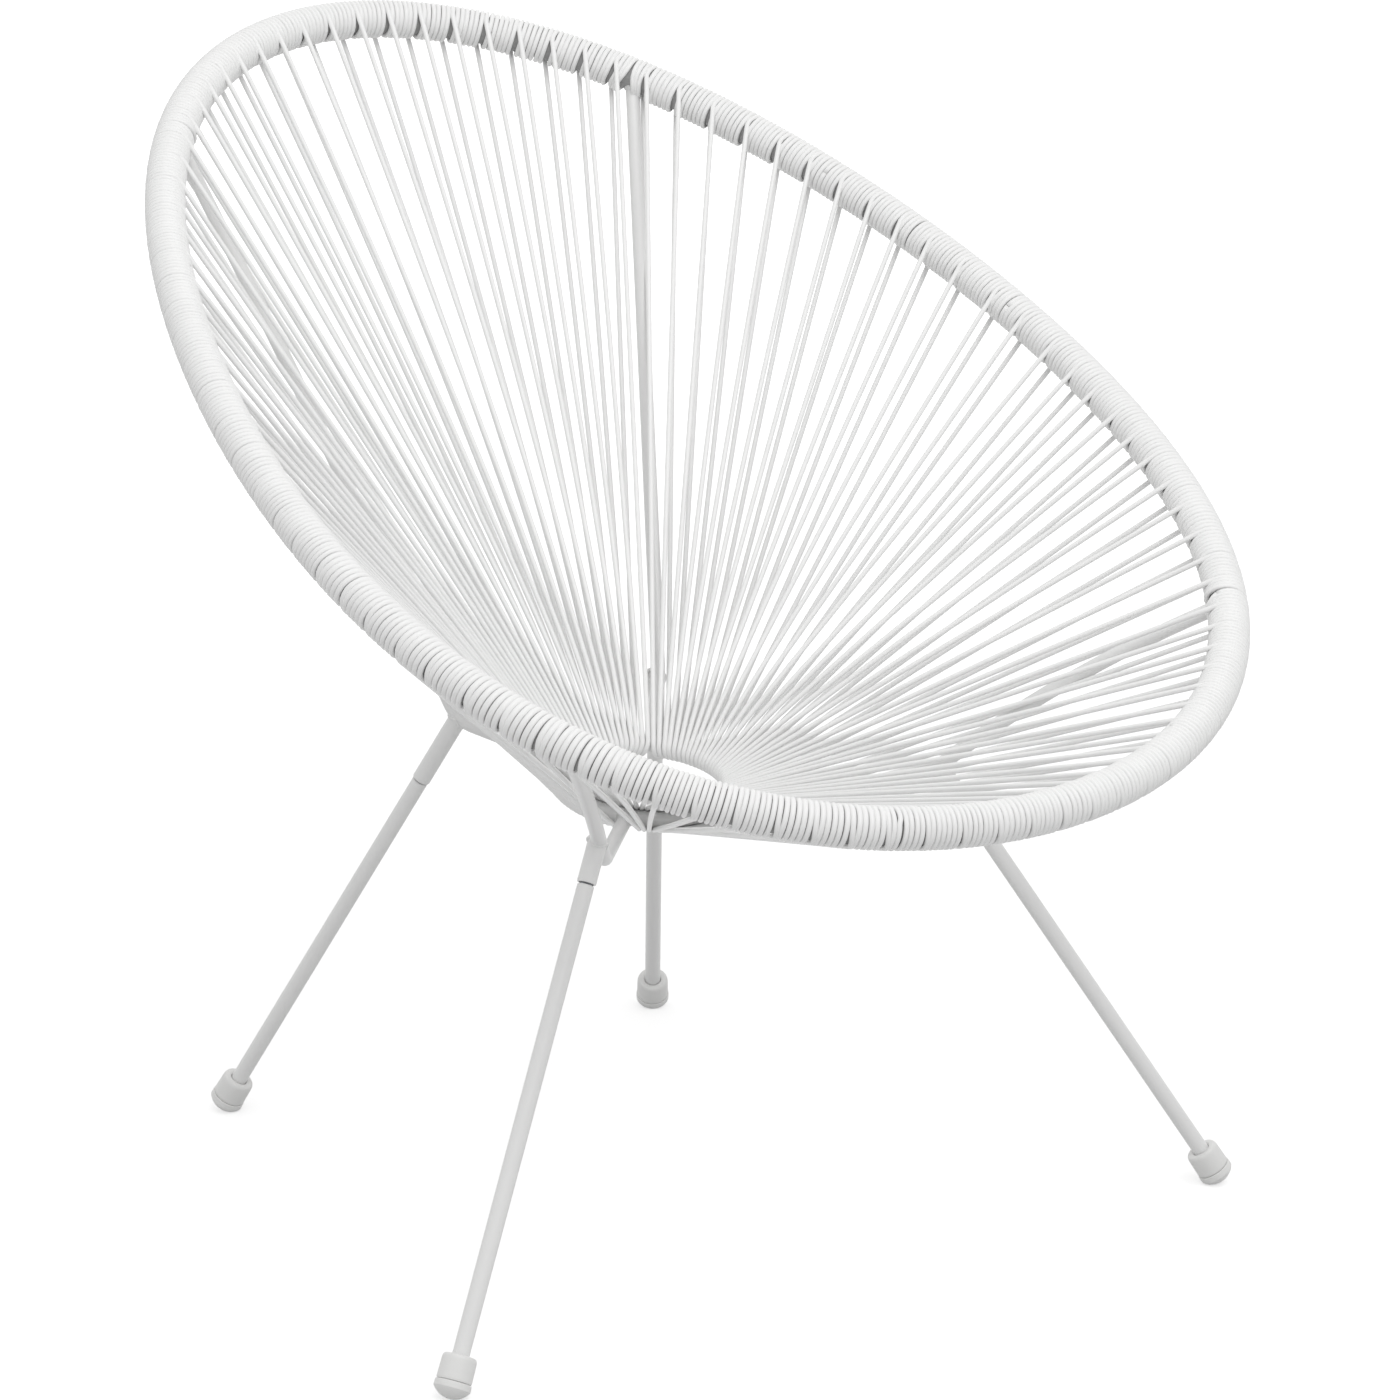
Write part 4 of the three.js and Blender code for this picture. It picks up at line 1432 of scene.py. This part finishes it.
@dataclass(frozen=True)
class Legs:
    """Four legs: a tube with a stud in its top, and a cap and a glide at its foot.

    Sizes are in millimetres. A height of the stud is measured up from the leg's top.
    """

    leg_radius: float = 6.35
    leg_foot_rounding: float = 0.6
    leg_top_rounding: float = 1.1
    leg_sides: int = 40
    joint_gap: float = 1.2
    stem_radius: float = 3.7
    stem_low: float = -17.0
    stem_high: float = 9.0
    stem_steps: int = 105
    stem_sides: int = 24
    thread_pitch: float = 1.25
    thread_depth: float = 0.35
    cap_radius: float = 13.0
    cap_length: float = 19.0
    cap_hole: float = 4.3
    cap_inset: float = 0.5
    cap_edge: float = 1.2
    cap_taper: float = 0.3
    cap_steps: int = 9
    cap_sides: int = 56
    mouth_width: float = 1.4
    mouth_drop: float = 0.9
    pocket_floor: float = 6.0
    pocket_depth: float = 15.0
    glide_radius: float = 13.5
    glide_edge: float = 4.8
    glide_rounding: float = 0.8
    dome_radius: float = 16.0
    dome_steps: int = 22
    seam_gap: float = 0.3
    wear: float = 1.0

    def build(self) -> None:
        """Makes the pieces of all four legs."""
        for quarter in Quarter:
            self.leg(quarter)

    def leg(self, quarter: Quarter) -> None:
        """One leg with its stud, cap and glide.

        Args:
            quarter: Its corner.
        """
        rib, suffix = quarter.rib, quarter.suffix
        line = rib.leg_line(quarter.mirror)
        slant = 1 / line.up[2]
        dome = (self.dome_radius - self.wear) * slant
        edge = math.sqrt(self.dome_radius**2 - self.glide_radius**2)
        glide_top = dome - edge + self.glide_edge
        cap_low = glide_top + self.seam_gap
        cap_high = cap_low + self.cap_length
        leg_low = cap_high - self.pocket_depth + self.seam_gap
        leg_high = (rib.elbow_height - rib.socket_drop) * slant - self.joint_gap
        tube = rounded(
            [
                (0.0, leg_low, 0.0),
                (self.leg_radius, leg_low, self.leg_foot_rounding),
                (self.leg_radius, leg_high, self.leg_top_rounding),
                (0.0, leg_high, 0.0),
            ]
        )
        surface = line.turned(tube, self.leg_sides)
        build_piece(f"leg_{suffix}", [surface], POWDER_COAT, f"leg_tube_{suffix}", BAR_CREASE)
        self.stud(suffix, line, leg_high)
        self.cap(suffix, line, cap_low, cap_high)
        self.glide(suffix, line, dome, edge, glide_top)

    def stud(self, suffix: str, line: LegLine, leg_high: float) -> None:
        """The stud that joins leg and socket.

        Formula: the stem's radius is its outer radius less half the thread's depth times (1 - cos
        of the turns along it), which draws the crests and roots.

        Args:
            suffix: Ending of the names.
            line: The leg's axis.
            leg_high: Height of the leg's top along it.
        """
        height = np.linspace(self.stem_low, self.stem_high, self.stem_steps)
        depth = self.thread_depth * (1 - np.cos(FULL_TURN * height / self.thread_pitch)) / 2
        rows = np.stack([self.stem_radius - depth, leg_high + height], -1)
        profile = np.concatenate([[[0.0, rows[0, 1]]], rows, [[0.0, rows[-1, 1]]]])
        stem = line.turned(profile, self.stem_sides)
        build_piece(f"stud_{suffix}", [stem], ZINC_PAINTED_SHADE, f"leg_stud_{suffix}")

    def cap(self, suffix: str, line: LegLine, low: float, high: float) -> None:
        """The moulded cup that the leg stands in, with a soft shoulder and a lip at the tube.

        Formula: the profile runs out along the bottom, up the outside, in over the shoulder and
        down into the mouth to the pocket's floor.

        Args:
            suffix: Ending of the names.
            line: The leg's axis.
            low: Height of its lower end along it.
            high: Height of its upper end.
        """
        outer, pocket = self.cap_radius, self.leg_radius + self.seam_gap
        floor = high - self.pocket_floor
        profile = rounded(
            [
                (self.cap_hole, low, 0.0),
                (outer - self.cap_inset, low, 0.5),
                (outer, low + self.cap_edge, 1.0),
                (outer - self.cap_taper, high, 4.6),
                (pocket + self.mouth_width, high, 0.8),
                (pocket, high - self.mouth_drop, 0.5),
                (pocket, floor, 0.0),
                (self.cap_hole, floor, 0.0),
            ],
            self.cap_steps,
        )
        profile = np.concatenate([[[0.0, low]], profile, [[0.0, floor]]])
        cup = line.turned(profile, self.cap_sides)
        build_piece(f"cap_{suffix}", [cup], CAP_PLASTIC, f"foot_cap_{suffix}", CUP_CREASE)

    def glide(self, suffix: str, line: LegLine, dome: float, edge: float, top: float) -> None:
        """The glide under the cap: a shallow dome, worn flat where it meets the floor.

        Formula: the dome is a ball of its radius about a point on the leg's axis; below the floor
        plane its points are lifted to it.

        Args:
            suffix: Ending of the names.
            line: The leg's axis.
            dome: Height of the ball's middle along it.
            edge: How far below that the dome ends.
            top: Height of the glide's upper face.
        """
        turn = np.linspace(0.0, math.asin(self.glide_radius / self.dome_radius), self.dome_steps)
        ball = np.stack([self.dome_radius * np.sin(turn), dome - self.dome_radius * np.cos(turn)], -1)
        side = rounded(
            [
                (self.glide_radius, dome - edge, 0.0),
                (self.glide_radius, top, self.glide_rounding),
                (0.0, top, 0.0),
            ]
        )
        surface = line.turned(np.concatenate([ball, side]), self.cap_sides)
        surface.points[..., 2] = np.maximum(surface.points[..., 2], 0.0)
        build_piece(f"glide_{suffix}", [surface], CAP_PLASTIC, f"foot_glide_{suffix}", CUP_CREASE)


@dataclass(frozen=True)
class Lamp:
    """One round soft lamp: its place, the height it aims at and its size in metres, and its watts."""

    name: str
    place: tuple[float, float, float]
    aim_height: float
    size: float
    power: float

    def build(self) -> None:
        """Hangs the lamp, turned towards the chair's axis."""
        lamp = bpy.data.lights.new(self.name, "AREA")
        lamp.shape = "DISK"
        lamp.size = self.size
        lamp.energy = self.power
        holder = bpy.data.objects.new(self.name, lamp)
        holder.location = self.place
        x, y, z = self.place
        tip = math.atan2(math.hypot(x, y), z - self.aim_height)
        holder.rotation_euler = (tip, 0.0, math.atan2(y, x) + math.pi / 2)
        bpy.context.scene.collection.objects.link(holder)


@dataclass(frozen=True)
class Studio:
    """Floor, soft light and the camera at the photograph's angle.

    Lengths are in metres and angles in degrees, but lens and sensor are in millimetres.
    """

    camera_place: tuple[float, float, float] = (-2.2239, -3.2768, 1.6491)
    azimuth: float = -34.603
    elevation: float = 17.647
    lens: float = 141.4
    sensor: float = 36.0
    clip_end: float = 60.0
    floor_radius: float = 14.0
    floor_sides: int = 96
    floor_grey: float = 0.58
    glow_near: float = 0.58
    glow_reach: tuple[float, float] = (0.7, 3.5)
    light_strength: float = 0.7
    overhead_lamp: Lamp = Lamp("overhead_lamp", (-0.3, -1.7, 3.4), 0.45, 3.2, 42.0)
    rear_lamp: Lamp = Lamp("rear_lamp", (1.6, 3.0, 2.0), 0.5, 2.2, 5.04)

    def build(self) -> None:
        """Builds the floor, the lights, the world and the camera."""
        self.floor()
        self.overhead_lamp.build()
        self.rear_lamp.build()
        self.world()
        self.camera()

    def floor(self) -> None:
        """A pale disc that keeps the chair's soft shadow and reads as white to the camera.

        Formula: the camera and reflections see a glow that grows from its near value to 1 with
        the distance from the middle.
        """
        rim = circle(self.floor_sides, SIDEWAYS, BACKWARDS) * self.floor_radius
        mesh = bpy.data.meshes.new("floor")
        mesh.from_pydata(rim.tolist(), [], [list(range(self.floor_sides))])
        plate = bpy.data.objects.new("floor", mesh)
        bpy.context.scene.collection.objects.link(plate)
        material = bpy.data.materials.new("pale_floor")
        wiring = Wiring.emptied(material)
        rays = wiring.add("LightPath", {}).outputs
        seen = wiring.math("MAXIMUM", rays["Is Camera Ray"], rays["Is Glossy Ray"])
        spot = wiring.add("TexCoord", {}).outputs["Object"]
        distance = wiring.add("VectorMath", {0: spot}, operation="LENGTH").outputs["Value"]
        growing = {
            "Value": distance,
            "From Min": self.glow_reach[0],
            "From Max": self.glow_reach[1],
            "To Min": self.glow_near,
            "To Max": 1.0,
        }
        ramp = wiring.add("MapRange", growing).outputs[0]
        glow = wiring.add("Emission", {"Strength": wiring.math("MULTIPLY", seen, ramp)})
        grey = (self.floor_grey, self.floor_grey, self.floor_grey, 1.0)
        matt = wiring.add("BsdfDiffuse", {"Color": grey})
        both = wiring.add("AddShader", {0: matt.outputs[0], 1: glow.outputs[0]})
        wiring.add("OutputMaterial", {"Surface": both.outputs[0]})
        mesh.materials.append(material)

    def world(self) -> None:
        """White to the camera, reflections and rays let through, a plain soft light to the rest."""
        world = bpy.data.worlds.new("studio_world")
        bpy.context.scene.world = world
        wiring = Wiring.emptied(world)
        soft = wiring.add("Background", {"Color": WHITE, "Strength": self.light_strength})
        white = wiring.add("Background", {"Color": WHITE})
        rays = wiring.add("LightPath", {}).outputs
        seen = wiring.math("MAXIMUM", rays["Is Camera Ray"], rays["Is Glossy Ray"])
        seen = wiring.math("MAXIMUM", seen, rays["Is Transmission Ray"])
        mix = wiring.add("MixShader", {0: seen, 1: soft.outputs[0], 2: white.outputs[0]})
        wiring.add("OutputWorld", {"Surface": mix.outputs[0]})

    def camera(self) -> None:
        """The camera, where the photograph's perspective puts it."""
        data = bpy.data.cameras.new("photo_camera")
        data.lens = self.lens
        data.sensor_width = self.sensor
        data.clip_end = self.clip_end
        holder = bpy.data.objects.new("photo_camera", data)
        holder.location = self.camera_place
        tip, turn = math.radians(90.0 - self.elevation), math.radians(self.azimuth)
        holder.rotation_euler = (tip, 0.0, turn)
        bpy.context.scene.collection.objects.link(holder)
        bpy.context.scene.camera = holder


def main() -> None:
    """Builds the studio, the finishes, and then the chair piece by piece."""
    logging.basicConfig(level=logging.INFO, format="%(message)s")
    bpy.context.scene.view_settings.view_transform = "Standard"
    Studio().build()
    groups = ShaderGroups()
    for finish in (CORD, POWDER_COAT, TUBE_PAINTED_SHADE, CAP_PLASTIC, ZINC_PAINTED_SHADE):
        groups.make_material(finish)
    Seat().build()
    Frame().build()
    Legs().build()


if __name__ == "__main__":
    main()
